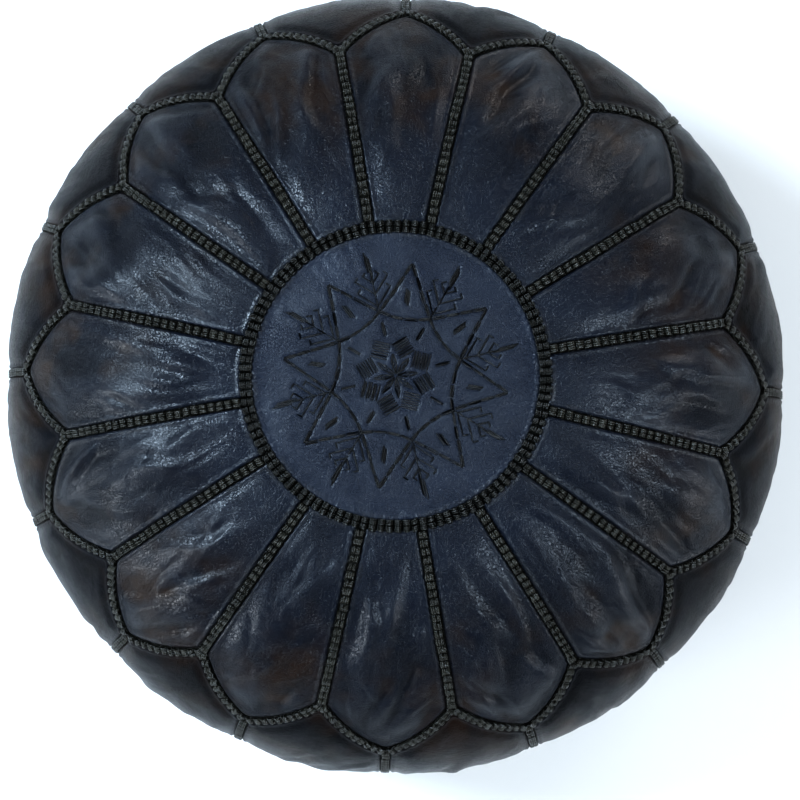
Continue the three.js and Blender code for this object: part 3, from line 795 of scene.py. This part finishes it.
def band_stitches(angle, arc, lanes, seed, pitch=STITCH_PITCH, closed=False, width=BAND_WIDTH, sink=0.0):
    """The threads of a stitched band: lengthwise strands in each unit, and wraps between the units.

    lanes lists how far from the band's middle each strand lies. sink is how deep the band lies in the seam."""
    draw = np.random.default_rng(seed)
    angle, arc = np.broadcast_arrays(angle, arc)
    a, s, step = resampled(angle, arc, pitch, closed)
    points, along, across, normal = band_frames(a, s)
    wobble = value_noise(np.arange(len(a)) * step / WANDER_LENGTH, 0.5, seed) * WANDER * (0 if closed else 1)
    points = points - normal * sink + across * wobble[:, None]
    count = len(a)

    def varied(amount):
        return draw.normal(0, amount, count)[:, None]

    def run(x, y, z, radius, sides, ways):
        centres = points[:, None] + x[..., None] * along[:, None] + y[..., None] * across[:, None]
        centres = centres + z[..., None] * normal[:, None]
        frames = [np.broadcast_to(way[:, None], centres.shape) for way in ways]
        return tubes(centres, *frames, radius + 0 * y, sides)

    strands = []
    unit_lift = varied(0.00015)
    unit_size = draw.uniform(0.9, 1.1, count)[:, None]
    unit_turn = varied(0.07)
    unit_shift = varied(0.00014)
    unit_shade = draw.uniform(0.2, 0.6, count)
    for lane in lanes:
        slant = unit_turn + varied(0.05)
        x = BEAD_STATIONS * step * 0.98 * (1 + varied(0.02))
        y = (lane + unit_shift + varied(0.00007)) + slant * x
        z = (BEAD_TOP - BAND_CROWN * lane**2 + unit_lift) + BEAD_ARCH
        bead = run(x, y, z, BEAD_RADIUS * unit_size * BEAD_THICKNESS, 7, (across, normal))
        strands.append((bead, unit_shade + draw.uniform(0, 0.4, count)))
    # The wraps and side wraps lie low between the units; their low shades, darker colour and less shine, are
    # painted shade in the grooves.
    for shift in WRAP_SHIFTS:
        y = WRAP_STATIONS * width / 2 * draw.uniform(0.95, 1.06, count)[:, None]
        x = step * (0.5 + shift) + varied(0.05) * y
        wrap = run(x, y, WRAP_HEIGHTS + varied(0.0001), WRAP_RADIUS, 5, (along, normal))
        strands.append((wrap, draw.uniform(0, 0.12, count)))
    for side in (-1, 1):
        for shift in SIDE_WRAP_SHIFTS:
            reach = width / 2 * draw.uniform(0.93, 1.05, count)[:, None] - SIDE_WRAP_START
            y = side * (SIDE_WRAP_START + reach * SIDE_WRAP_STATIONS)
            z = SIDE_WRAP_HEIGHTS + varied(0.0001)
            wrap = run(step * shift + 0 * y, y, z, SIDE_WRAP_RADIUS, 5, (along, normal))
            strands.append((wrap, draw.uniform(0, 0.2, count)))
    # The core takes the darkest shade: painted shade under the threads.
    strands.append((band_core(angle, arc, width, closed, sink), np.array([0.0])))
    return strands


def band_core(angle, arc, width, closed, sink):
    """The filling under a band's threads, as one tube with a flat section, in the darkest shade: painted shade
    under the threads.
    """
    points, _, across, normal = band_frames(angle, arc)
    if closed:
        points, across, normal = (np.concatenate([line, line[:1]]) for line in (points, across, normal))
    centres = (points + normal * (0.0001 - sink))[None]
    one = np.ones((1, len(points)))
    return tubes(centres, across[None] * width * CORE_SHARE, normal[None] * CORE_HEIGHT, one, sides=8)


def stitch_piece(name, strands, material, stands_for):
    declare(thread_object(name, strands, material), stands_for)


def make_stitching(material, ring_material):
    turn = np.linspace(0, 2 * math.pi, 721)
    ring = band_stitches(
        turn, RING_ARC, RING_STRANDS, 11, RING_PITCH, closed=True, width=RING_BAND_WIDTH, sink=0.0002)
    stitch_piece("ring_stitches", ring, ring_material, "medallion_ring_stitching")
    arc = np.linspace(RING_ARC + 0.0040, VALLEY_ARC - 0.0006, 60)
    for k in range(PANELS):
        seam = band_stitches((2 * k + 1) * HALF_SECTOR, arc, FOUR_STRANDS, 100 + k)
        stitch_piece(f"petal_seam_stitches_{k + 1:02d}", seam, material, f"petal_seam_stitching_{k + 1:02d}")
    for k in range(PANELS):
        strands = []
        for half in (2 * k - 1, 2 * k):
            share = np.linspace(0.02, 0.995, 40)
            across = share if half % 2 == 0 else 1 - share
            angle = (half + share) * HALF_SECTOR
            strands += band_stitches(angle, zigzag_arc(across), FOUR_STRANDS, 201 + half, sink=0.0003)
        stitch_piece(f"rim_stitches_{k + 1:02d}", strands, material, "rim_and_side_stitching")
    arc = np.linspace(TIP_ARC + 0.003, SIDE_END_ARC, 90)
    for k in range(PANELS):
        seam = band_stitches(2 * k * HALF_SECTOR, arc, FOUR_STRANDS, 300 + k, sink=0.0016)
        stitch_piece(f"side_seam_stitches_{k + 1:02d}", seam, material, "rim_and_side_stitching")


# ---- Base ----
ZIP_SLOT = 0.007
HEM_EDGE = 0.0145
VALLEY_EDGE = 0.034
HEM_HEIGHT = 0.0068
BASE_EDGE_RADIUS = BASE_SEAM_RADIUS - BINDING_RADIUS - 0.0004
BASE_PANEL_END = 0.020
SEAM_TAPE_HALF = 0.006
PIPING_SIDES = 14
PIPING_STITCHES = 290
TAB_START = 0.1675
TAB_HEIGHT = 0.0070
TAB_THICKNESS = 0.0013


def base_height(x, y):
    """Height of the base's outer face: flat, rising to the base seam and into the zip's shallow valley."""
    distance = np.hypot(x, y)
    out = np.clip((distance - BASE_FLAT_RADIUS) / (GIRTH_RADIUS - BASE_FLAT_RADIUS), 0, 1)
    rim = GIRTH_HEIGHT * (1 - (1 - out ** ROUNDNESS) ** (1 / ROUNDNESS))
    valley = HEM_HEIGHT * smoothstep(0, 1, (VALLEY_EDGE - np.abs(y)) / (VALLEY_EDGE - HEM_EDGE))
    return np.maximum(rim, valley)


def make_base(side, node, material):
    """Half of the base, on one side of the zip: a hem with a row of stitches, ripples, and gathers at the rim."""
    end = math.sqrt(BASE_EDGE_RADIUS**2 - BASE_PANEL_END**2)
    x = end * np.sin(np.linspace(-0.5, 0.5, 190) * math.pi)[None, :]
    edge = np.sqrt(BASE_EDGE_RADIUS**2 - x**2)
    v = np.concatenate([np.linspace(0, 0.06, 10), np.linspace(0.075, 0.94, 66), np.linspace(0.95, 1, 7)])
    y = ZIP_SLOT + (edge - ZIP_SLOT) * v[:, None]
    x = x + 0 * y
    seam = (edge - y) * 0.9 + SEAM_GAP
    hem = y - ZIP_SLOT
    ripple = 0.0006 * (1 + value_noise(x / 0.022, y / 0.022, 71 + side)) * smoothstep(0.006, 0.03, seam)
    gathers = 0.0010 * (1 + value_noise(np.arctan2(y, x) * 30, seam / 0.02, 72)) * np.exp(-seam / 0.012)
    height = base_height(x, y) + (ripple + gathers) * smoothstep(0.002, 0.012, hem)
    height = height + 0.0005 * (bell(hem - 0.0045, 0.0007) * (0.5 + 0.5 * np.cos(2 * math.pi * x / 0.0032)))
    outer = np.stack([x, side * y, height], axis=-1)
    inner = outer + np.array([0, 0, LEATHER])
    # The hem's edge is paler: partly rubbing, partly a painted highlight.
    piece = sheet_object(f"{node}_leather", outer, inner, material, outer[..., :2], bell(hem, 0.0012), side > 0)
    declare(piece, node)


def make_binding(material):
    """The piping in the base seam: leather round a cord, drawn in a little at every stitch."""
    turn = np.linspace(0, 2 * math.pi, 1201)[:-1, None]
    around = np.arange(PIPING_SIDES) * 2 * math.pi / PIPING_SIDES
    radius, height = float(radius_at(BASE_ARC)), float(np.interp(BASE_ARC, ARC, RISE))
    drawn_in = np.cos(turn * PIPING_STITCHES)
    thick = BINDING_RADIUS * (1.05 + 0.10 * drawn_in)
    out = radius + thick * np.cos(around)
    points = np.stack([out * np.cos(turn), out * np.sin(turn), height + thick * np.sin(around)], -1)
    uv = np.stack([turn * radius + 0 * around, around * BINDING_RADIUS + 0 * turn], -1)
    faces = grid_faces(*out.shape, wrap=True, closed=True)
    piece = new_object("base_seam_piping", points, faces, material, uv)
    # The piping's bulges between stitches are paler: partly rubbing, partly a painted highlight.
    set_attribute(piece, "rub_and_highlight", 0.3 * drawn_in + 0.3 + 0 * out)
    declare(piece, "base_seam_binding")


def make_seam_tape(material):
    """A strip of cloth sewn behind the base seam, so no stuffing shows in it."""
    turn = np.linspace(0, 2 * math.pi, 361)[None, :-1]
    arc = np.linspace(BASE_ARC - SEAM_TAPE_HALF, BASE_ARC + SEAM_TAPE_HALF, 7)[:, None]
    outer, inner = skin_point(turn, arc, -0.0020), skin_point(turn, arc, -0.0026)
    points = np.concatenate([outer, inner[::-1]])
    uv = np.stack([turn + 0 * points[..., 0], 0 * points[..., 0]], -1)
    faces = grid_faces(*points.shape[:2], wrap=True, closed=True)
    declare(new_object("base_seam_tape", points, faces, material, uv), "base_seam_binding")


def make_zip_ends(material):
    """Leather tabs over both ends of the zip's tapes."""
    outer_end = math.sqrt((BASE_EDGE_RADIUS - 0.0006) ** 2 - ZIP_SLOT**2)
    for side, name in ((-1, "zip_tab_left"), (1, "zip_tab_right")):
        x = side * np.linspace(TAB_START, outer_end, 24)[:, None]
        y = np.linspace(-ZIP_SLOT + 0.0003, ZIP_SLOT - 0.0003, 15)[None, :]
        sag = 0.0003 * np.cos(y / ZIP_SLOT * math.pi / 2) + 0.0001 * np.sin(x * 900)
        height = TAB_HEIGHT - sag + 0.0003 * bell(np.abs(x) - 0.1700, 0.0005)
        outer = np.stack([x + 0 * y, y + 0 * x, height], -1)
        inner = outer + np.array([0, 0, TAB_THICKNESS])
        piece = sheet_object(name, outer, inner, material, outer[..., :2], 0 * height, side > 0)
        declare(piece)


# ---- Stuffing ----
STUFFING_INSET = 0.0042


def stuffing_floor(y):
    """The lowest the stuffing may lie: just over the base, and higher over the zip."""
    return 0.004 + 0.009 * smoothstep(0.040, 0.018, np.abs(y))


def make_stuffing(material):
    """Packed cotton: the cover's shape, a little smaller and lumpy, with a groove over the zip."""
    arc = np.linspace(0.002, ARC[-1], 120)[:, None]
    turn = np.linspace(0, 2 * math.pi, 241)[None, :-1]
    lumps = value_noise(turn * 9 + 5, arc / 0.03, 81) + 0.5 * value_noise(turn * 22, arc / 0.014, 82)
    points = skin_point(turn, arc, -STUFFING_INSET - 0.0012 * (1 + lumps * smoothstep(0.0, 0.06, arc)))
    points[..., 2] = np.maximum(points[..., 2], stuffing_floor(points[..., 1]))
    rings = [points]
    for share in (0.75, 0.5, 0.25, 0.02):
        ring = points[-1:].copy()
        ring[..., :2] *= share
        ring[..., 2] = stuffing_floor(ring[..., 1]) + 0.0004 * np.sin(7 * turn)
        rings.append(ring)
    points = np.concatenate(rings)
    rows, columns = points.shape[:2]
    count = rows * columns
    i = np.arange(columns)
    following = (i + 1) % columns
    last = count - columns
    caps = np.concatenate([
        np.stack([following, i, np.full(columns, count)], -1),
        np.stack([last + i, last + following, np.full(columns, count + 1)], -1),
    ])
    points = np.concatenate([points.reshape(-1, 3), [points[0].mean(0), points[-1].mean(0)]])
    piece = new_object("cotton_stuffing", points, [grid_faces(rows, columns, wrap=True), caps], material)
    declare(piece, "stuffing")


# ---- Materials ----
class Graph:
    """Wires the nodes of a material or a world. A value may be a number, a colour or a node's output."""

    def __init__(self, data):
        data.use_nodes = True
        self.data = data
        self.nodes, self.links = data.node_tree.nodes, data.node_tree.links
        self.coordinates = self.nodes.new("ShaderNodeTexCoord").outputs
        self.place = self.coordinates["Object"]

    def feed(self, socket, value):
        if isinstance(value, bpy.types.NodeSocket):
            self.links.new(value, socket)
        else:
            socket.default_value = (*value, 1) if socket.type == "RGBA" else value

    def add(self, kind, inputs=None, **settings):
        node = self.nodes.new(kind)
        for key, value in settings.items():
            setattr(node, key, value)
        for key, value in (inputs or {}).items():
            self.feed(node.inputs[key], value)
        return node

    def noise(self, vector, scale, detail=2.0, roughness=0.5, distortion=0.0, output="Fac"):
        inputs = {"Scale": scale, "Detail": detail, "Roughness": roughness, "Distortion": distortion}
        return self.add("ShaderNodeTexNoise", {"Vector": vector, **inputs}).outputs[output]

    def ramp(self, value, low, high, out_low=0.0, out_high=1.0, **settings):
        inputs = {"Value": value, "From Min": low, "From Max": high, "To Min": out_low, "To Max": out_high}
        return self.add("ShaderNodeMapRange", inputs, **settings).outputs["Result"]

    def maths(self, operation, a, b=0):
        return self.add("ShaderNodeMath", {0: a, 1: b}, operation=operation).outputs["Value"]

    def times(self, a, b):
        return self.maths("MULTIPLY", a, b)

    def mix(self, factor, a, b):
        """A mix of two colours. Its sockets have numbers here, because their names aren't unique."""
        return self.add("ShaderNodeMix", {0: factor, 6: a, 7: b}, data_type="RGBA").outputs[2]

    def bump(self, height, distance, strength=1.0, under=None):
        inputs = {"Height": height, "Distance": distance, "Strength": strength}
        if under is not None:
            inputs["Normal"] = under
        return self.add("ShaderNodeBump", inputs).outputs["Normal"]

    def attribute(self, name):
        return self.add("ShaderNodeAttribute", attribute_name=name).outputs["Fac"]

    def finish(self, values, shader="Principled BSDF"):
        """Feeds the shader's sockets, and gives back the material or world."""
        for name, value in values.items():
            self.feed(self.nodes[shader].inputs[name], value)
        return self.data


def new_material(name):
    return Graph(bpy.data.materials.new(name))


BARE_HIDE = (0.0165, 0.0082, 0.0048)
# The colour of a painted sheen of blue light on the top faces.
BLUE_SHEEN = (0.0105, 0.0160, 0.0300)
LEATHERS = {
    "petal_leather": dict(
        dark=(0.0014, 0.0020, 0.0038), light=(0.0048, 0.0066, 0.0112), rub_and_highlight_colour=(0.036, 0.036, 0.036),
        roughness=0.34, shine=0.40),
    # The side panels' colours are darker than the petals' goatskin: painted shade on the steep sides.
    "side_leather": dict(
        dark=(0.0011, 0.0010, 0.0010), light=(0.0034, 0.0026, 0.0024), rub_and_highlight_colour=(0.020, 0.017, 0.014),
        roughness=0.36, shine=0.10),
    # The medallion's colours are lighter and bluer than the petals' goatskin: a painted sheen on the flat top.
    "medallion_leather": dict(
        dark=(0.0042, 0.0066, 0.0135), light=(0.0095, 0.0145, 0.0270), rub_and_highlight_colour=(0.040, 0.040, 0.040),
        roughness=0.42, shine=0.46, wrinkles=0.8),
    "base_leather": dict(
        dark=(0.004, 0.004, 0.004), light=(0.011, 0.010, 0.0095), rub_and_highlight_colour=(0.035, 0.031, 0.028),
        roughness=0.60, shine=0.3, blue_sheen=0.0),
}


def leather_material(name, dark, light, rub_and_highlight_colour, roughness, shine, wrinkles=1.0, blue_sheen=0.36):
    """Waxed goatskin: fine grain, crackle in patches with painted shade in its cracks, long soft wrinkles, cloudy
    colour, and edges that are partly pale from rubbing and partly a painted highlight.

    A painted blue sheen lies over the top faces. Where the attribute for brown hide and fading sheen is high,
    that sheen fades and brown hide shows in patches, and where polish is high the leather shines more."""
    graph = new_material(name)
    place, times, ramp = graph.place, graph.times, graph.ramp
    brown_and_sheen_fade, polish = graph.attribute("brown_and_sheen_fade"), graph.attribute("polish")

    clouds = graph.noise(place, 14, 4, 0.6)
    flecks = graph.noise(place, 120, 3, 0.6)
    tone = graph.maths("ADD", ramp(clouds, 0.35, 0.68), ramp(flecks, 0.45, 0.75, 0, 0.35))
    colour = graph.mix(ramp(tone, 0, 1.2), dark, light)
    # Painted blue sheen: a lighter blue mixed into the top faces' colour, fading where brown hide shows.
    colour = graph.mix(times(graph.maths("SUBTRACT", 1.0, brown_and_sheen_fade), blue_sheen), colour, BLUE_SHEEN)
    brown = times(ramp(graph.noise(place, 19, 3, 0.6), 0.48, 0.64), brown_and_sheen_fade)
    colour = graph.mix(brown, colour, BARE_HIDE)
    # Paler, shinier raised edges: partly rubbing, partly a painted highlight on edges that catch the light.
    rub_and_highlight_patches = ramp(graph.noise(place, 60, 4, 0.6), 0.45, 0.68)
    rub_and_highlight = times(graph.attribute("rub_and_highlight"), rub_and_highlight_patches)
    colour = graph.mix(times(rub_and_highlight, 0.6), colour, rub_and_highlight_colour)

    wobble = graph.noise(place, 260, output="Color")
    shifted = graph.add(
        "ShaderNodeVectorMath", {0: wobble, 1: (0.0040, 0.0040, 0.0040), 2: place}, operation="MULTIPLY_ADD",
    ).outputs[0]
    crackle = graph.add("ShaderNodeTexVoronoi", {"Vector": shifted, "Scale": 600.0}, feature="DISTANCE_TO_EDGE")
    cracks = ramp(crackle.outputs["Distance"], 0.0, 0.11)
    patches = ramp(graph.noise(place, 30, 3, 0.6), 0.40, 0.62, 0.25, 1.0)
    grain = graph.add(
        "ShaderNodeTexVoronoi", {"Vector": shifted, "Scale": 1050.0, "Smoothness": 0.5}, feature="SMOOTH_F1")
    pores = graph.noise(place, 1700, 2, 0.6)
    stretched = graph.add("ShaderNodeMapping", {"Vector": graph.coordinates["UV"], "Scale": (1.0, 0.3, 1.0)})
    lines = graph.noise(stretched.outputs["Vector"], 620, 4, 0.65, 0.3)
    normal = graph.bump(times(lines, patches), 0.00045 * wrinkles, 0.5)
    normal = graph.bump(times(cracks, patches), 0.00036, 0.75, normal)
    normal = graph.bump(grain.outputs["Distance"], 0.00024, 0.5, normal)
    normal = graph.bump(pores, 0.00008, 0.4, normal)

    gloss = ramp(clouds, 0.3, 0.7, roughness + 0.06, roughness - 0.06)
    gloss = graph.maths("ADD", gloss, ramp(pores, 0.3, 0.7, -0.04, 0.05))
    # Painted shade: in the cracks of the crackle the colour goes halfway to the dark tone and the shine drops to
    # a quarter, as if shadow lay there.
    hollow = times(graph.maths("SUBTRACT", 1.0, cracks), patches)
    sheen = times(ramp(hollow, 0.0, 1.0, shine, 0.25 * shine), ramp(brown_and_sheen_fade, 0.0, 1.0, 1.0, 0.62))
    return graph.finish({
        "Base Color": graph.mix(times(hollow, 0.5), colour, dark),
        "Roughness": graph.maths("SUBTRACT", gloss, times(rub_and_highlight, 0.06)),
        "Specular IOR Level": times(sheen, ramp(polish, 0.0, 1.0, 1.0, 3.0)),
        "Normal": normal,
    })


def thread_material(name, dark, light, roughness, pitch=0.0011):
    """Waxed thread: twisted plies, each tube a slightly different shade."""
    graph = new_material(name)
    shade = graph.attribute("shade")
    fibres = graph.noise(graph.place, 900, 3, 0.6)
    tone = graph.maths("ADD", graph.times(shade, 0.7), graph.ramp(fibres, 0.4, 0.7, 0, 0.3))
    split = graph.add("ShaderNodeSeparateXYZ", {"Vector": graph.coordinates["UV"]}).outputs
    along = graph.times(split["X"], 2 * math.pi / pitch)
    around = graph.times(split["Y"], 4 * math.pi)
    twist = graph.maths("ABSOLUTE", graph.maths("SINE", graph.maths("ADD", along, around)))
    return graph.finish({
        "Base Color": graph.mix(tone, dark, light),
        "Roughness": graph.ramp(fibres, 0.3, 0.7, roughness - 0.06, roughness + 0.10),
        # Low shades, given to the wraps and core, also lose their shine: painted shade in the grooves.
        "Specular IOR Level": graph.ramp(shade, 0.05, 0.30, 0.04, 0.50),
        "Normal": graph.bump(fibres, 0.0001, 0.6, graph.bump(twist, 0.0003, 0.6)),
    })


def cotton_material():
    graph = new_material("cotton")
    fluff = graph.noise(graph.place, 160, 5, 0.7, 0.8)
    return graph.finish({
        "Base Color": graph.mix(fluff, (0.55, 0.49, 0.39), (0.80, 0.76, 0.67)),
        "Normal": graph.bump(fluff, 0.004, 0.8),
        "Roughness": 0.95,
    })


def tape_material():
    """Woven zip tape: a fine herringbone."""
    graph = new_material("zip_tape")
    waves = {"Vector": graph.place, "Scale": 900.0, "Distortion": 1.5}
    weave = graph.add("ShaderNodeTexWave", waves, bands_direction="DIAGONAL").outputs["Fac"]
    return graph.finish({
        "Base Color": graph.mix(weave, (0.006, 0.006, 0.007), (0.022, 0.022, 0.025)),
        "Normal": graph.bump(weave, 0.0003, 0.7),
        "Roughness": 0.85,
    })


def metal_material():
    """Antique brass: dark in cloudy patches and brighter between them, with fine pitting."""
    graph = new_material("antique_brass")
    clouds = graph.noise(graph.place, 260, 4, 0.6)
    return graph.finish({
        "Base Color": graph.mix(graph.ramp(clouds, 0.35, 0.65), (0.16, 0.12, 0.07), (0.48, 0.39, 0.25)),
        "Roughness": graph.ramp(clouds, 0.3, 0.7, 0.5, 0.26),
        "Normal": graph.bump(graph.noise(graph.place, 2500, 2), 0.00005, 0.5),
        "Metallic": 1.0,
    })


# ---- Zip ----
COIL_END = 0.1645
COIL_PITCH = 0.0015
COIL_RADIUS = 0.00042
COIL_Y = np.array([0.0004, 0.0009, 0.0018, 0.0027, 0.0031])
COIL_Z = np.array([0.0088, 0.0082, 0.0080, 0.0082, 0.0088])


def make_zip(tape, metal):
    """Materials for the zip's CAD nodes, and rounded edges on its metal ones."""
    for name, material in (
        ("zip_tape_rear", tape), ("zip_tape_front", tape),
        ("zip_slider", metal), ("zip_pull", metal), ("zip_end_stop", metal),
    ):
        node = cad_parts[name]
        node.data.materials.clear()
        node.data.materials.append(material)
        if material == metal:
            bevel = node.modifiers.new("edges", "BEVEL")
            bevel.width = 0.00018
            bevel.segments = 2
            bevel.limit_method = "ANGLE"


def make_zip_teeth(material):
    """Ribs of the two nylon coils, half a pitch apart so they interlock."""
    draw = np.random.default_rng(20)
    for side, name in ((1, "zip_teeth_rear"), (-1, "zip_teeth_front")):
        x = np.arange(-COIL_END, COIL_END, COIL_PITCH)[:, None] + (COIL_PITCH / 4) * side
        shape = (len(x), len(COIL_Y))
        centres = np.stack([np.broadcast_to(v, shape) for v in (x, COIL_Y * side, COIL_Z)], -1)
        ways = [np.broadcast_to(np.array(way), centres.shape) for way in ((1.0, 0, 0), (0, 0, 1.0))]
        ribs = tubes(centres, *ways, np.full(shape, COIL_RADIUS))
        declare(thread_object(name, [(ribs, draw.uniform(0.2, 0.6, len(x)))], material))


# ---- Stage ----
FLOOR_HALF = 4.5
HORIZON_LIGHT = 0.42
ZENITH_LIGHT = 0.06
CAMERA_DISTANCE = 2.60
CAMERA_LENS = 169
CAMERA_TILT = math.radians(2.0)
CAMERA_ROLL = math.radians(1.55)
CAMERA_TARGET = (0.0031, -0.0042, 0.0)


def make_stage():
    size = FLOOR_HALF
    corners = [(-size, -size, 0), (size, -size, 0), (size, size, 0), (-size, size, 0)]
    white = new_material("floor_white").finish({
        "Base Color": (0.72, 0.72, 0.72), "Roughness": 0.9, "Specular IOR Level": 0.2,
    })
    new_object("floor", corners, np.array([[0, 1, 2, 3]]), white)


def aimed(thing, place, rotation):
    thing.location = place
    thing.rotation_mode = "QUATERNION"
    thing.rotation_quaternion = rotation
    bpy.context.scene.collection.objects.link(thing)
    return thing


def area_light(name, place, target, size, power, colour, reflected=True):
    data = bpy.data.lights.new(name, "AREA")
    data.shape, data.size, data.energy, data.color = "DISK", size, power, colour
    rotation = (Vector(target) - Vector(place)).to_track_quat("-Z", "Y")
    aimed(bpy.data.objects.new(name, data), place, rotation).visible_glossy = reflected


def make_lights():
    """A soft window light from the left, low lights for the sides, and a wide one that brightens the floor.

    The sky is bright at the horizon and dark overhead, so that the top keeps its deep black."""
    graph = Graph(bpy.data.worlds.new("studio"))
    height = graph.add("ShaderNodeSeparateXYZ", {"Vector": graph.coordinates["Generated"]}).outputs["Z"]
    fade = graph.ramp(height, 0.05, 0.40, HORIZON_LIGHT, ZENITH_LIGHT, interpolation_type="SMOOTHSTEP")
    bpy.context.scene.world = graph.finish({"Color": (0.90, 0.95, 1.0), "Strength": fade}, "Background")
    area_light("key", (-2.1, 0.7, 2.8), (0, 0, 0.2), 1.3, 120, (0.70, 0.86, 1.0))
    area_light("left", (-2.3, -1.3, 1.0), (0, 0, 0.15), 1.0, 32, (0.88, 0.95, 1.0))
    area_light("low_right", (2.5, -1.1, 0.8), (0, 0, 0.15), 1.0, 17, (0.92, 0.96, 1.0))
    area_light("right", (2.0, -0.8, 2.5), (0, 0, 0.2), 0.8, 40, (0.74, 0.88, 1.0))
    area_light("back", (1.4, 2.4, 0.9), (0, 0, 0.15), 1.1, 18, (1.0, 0.98, 0.96))
    area_light("floor_fill", (0.8, -0.8, 6.0), (0.8, -0.8, 0), 9.0, 105, (1.0, 1.0, 1.0), reflected=False)


def make_camera():
    data = bpy.data.cameras.new("camera")
    data.sensor_width = 36
    data.lens = CAMERA_LENS
    data.clip_start, data.clip_end = 0.05, 50
    back = Vector((0, -math.sin(CAMERA_TILT), math.cos(CAMERA_TILT)))
    up = Vector((-math.sin(CAMERA_ROLL), math.cos(CAMERA_ROLL), 0))
    right = up.cross(back).normalized()
    rotation = Matrix((right, back.cross(right), back)).transposed().to_quaternion()
    place = Vector(CAMERA_TARGET) + back * CAMERA_DISTANCE
    bpy.context.scene.camera = aimed(bpy.data.objects.new("camera", data), place, rotation)


# ---- The scene ----
make_camera()
make_lights()
make_stage()
scene = bpy.context.scene
scene.view_settings.view_transform = "Standard"
scene.view_settings.look = "High Contrast"
scene.view_settings.exposure = 0.40

leather = {name: leather_material(name, **facts) for name, facts in LEATHERS.items()}
thread = thread_material("waxed_thread", (0.0010, 0.0010, 0.0010), (0.034, 0.033, 0.026), 0.19)
ring_thread = thread_material("ring_thread", (0.0008, 0.0008, 0.0008), (0.010, 0.0105, 0.0085), 0.20)
fine_thread = thread_material(
    "embroidery_thread", (0.0010, 0.0010, 0.0014), (0.0050, 0.0050, 0.0050), 0.30, pitch=0.0009)
nylon = thread_material("nylon_coil", (0.004, 0.004, 0.0045), (0.016, 0.016, 0.018), 0.4, pitch=0.002)
tape = tape_material()

moved = simulate_panels()
for k in range(PANELS):
    finished_panel("petal", k, moved, leather["petal_leather"])
    finished_panel("side_panel", k, moved, leather["side_leather"])
make_medallion(leather["medallion_leather"])
make_embroidery(fine_thread)
make_stitching(thread, ring_thread)
make_base(1, "base_panel_rear", leather["base_leather"])
make_base(-1, "base_panel_front", leather["base_leather"])
make_binding(leather["base_leather"])
make_seam_tape(tape)
make_zip_ends(leather["base_leather"])
make_stuffing(cotton_material())
make_zip(tape, metal_material())
make_zip_teeth(nylon)
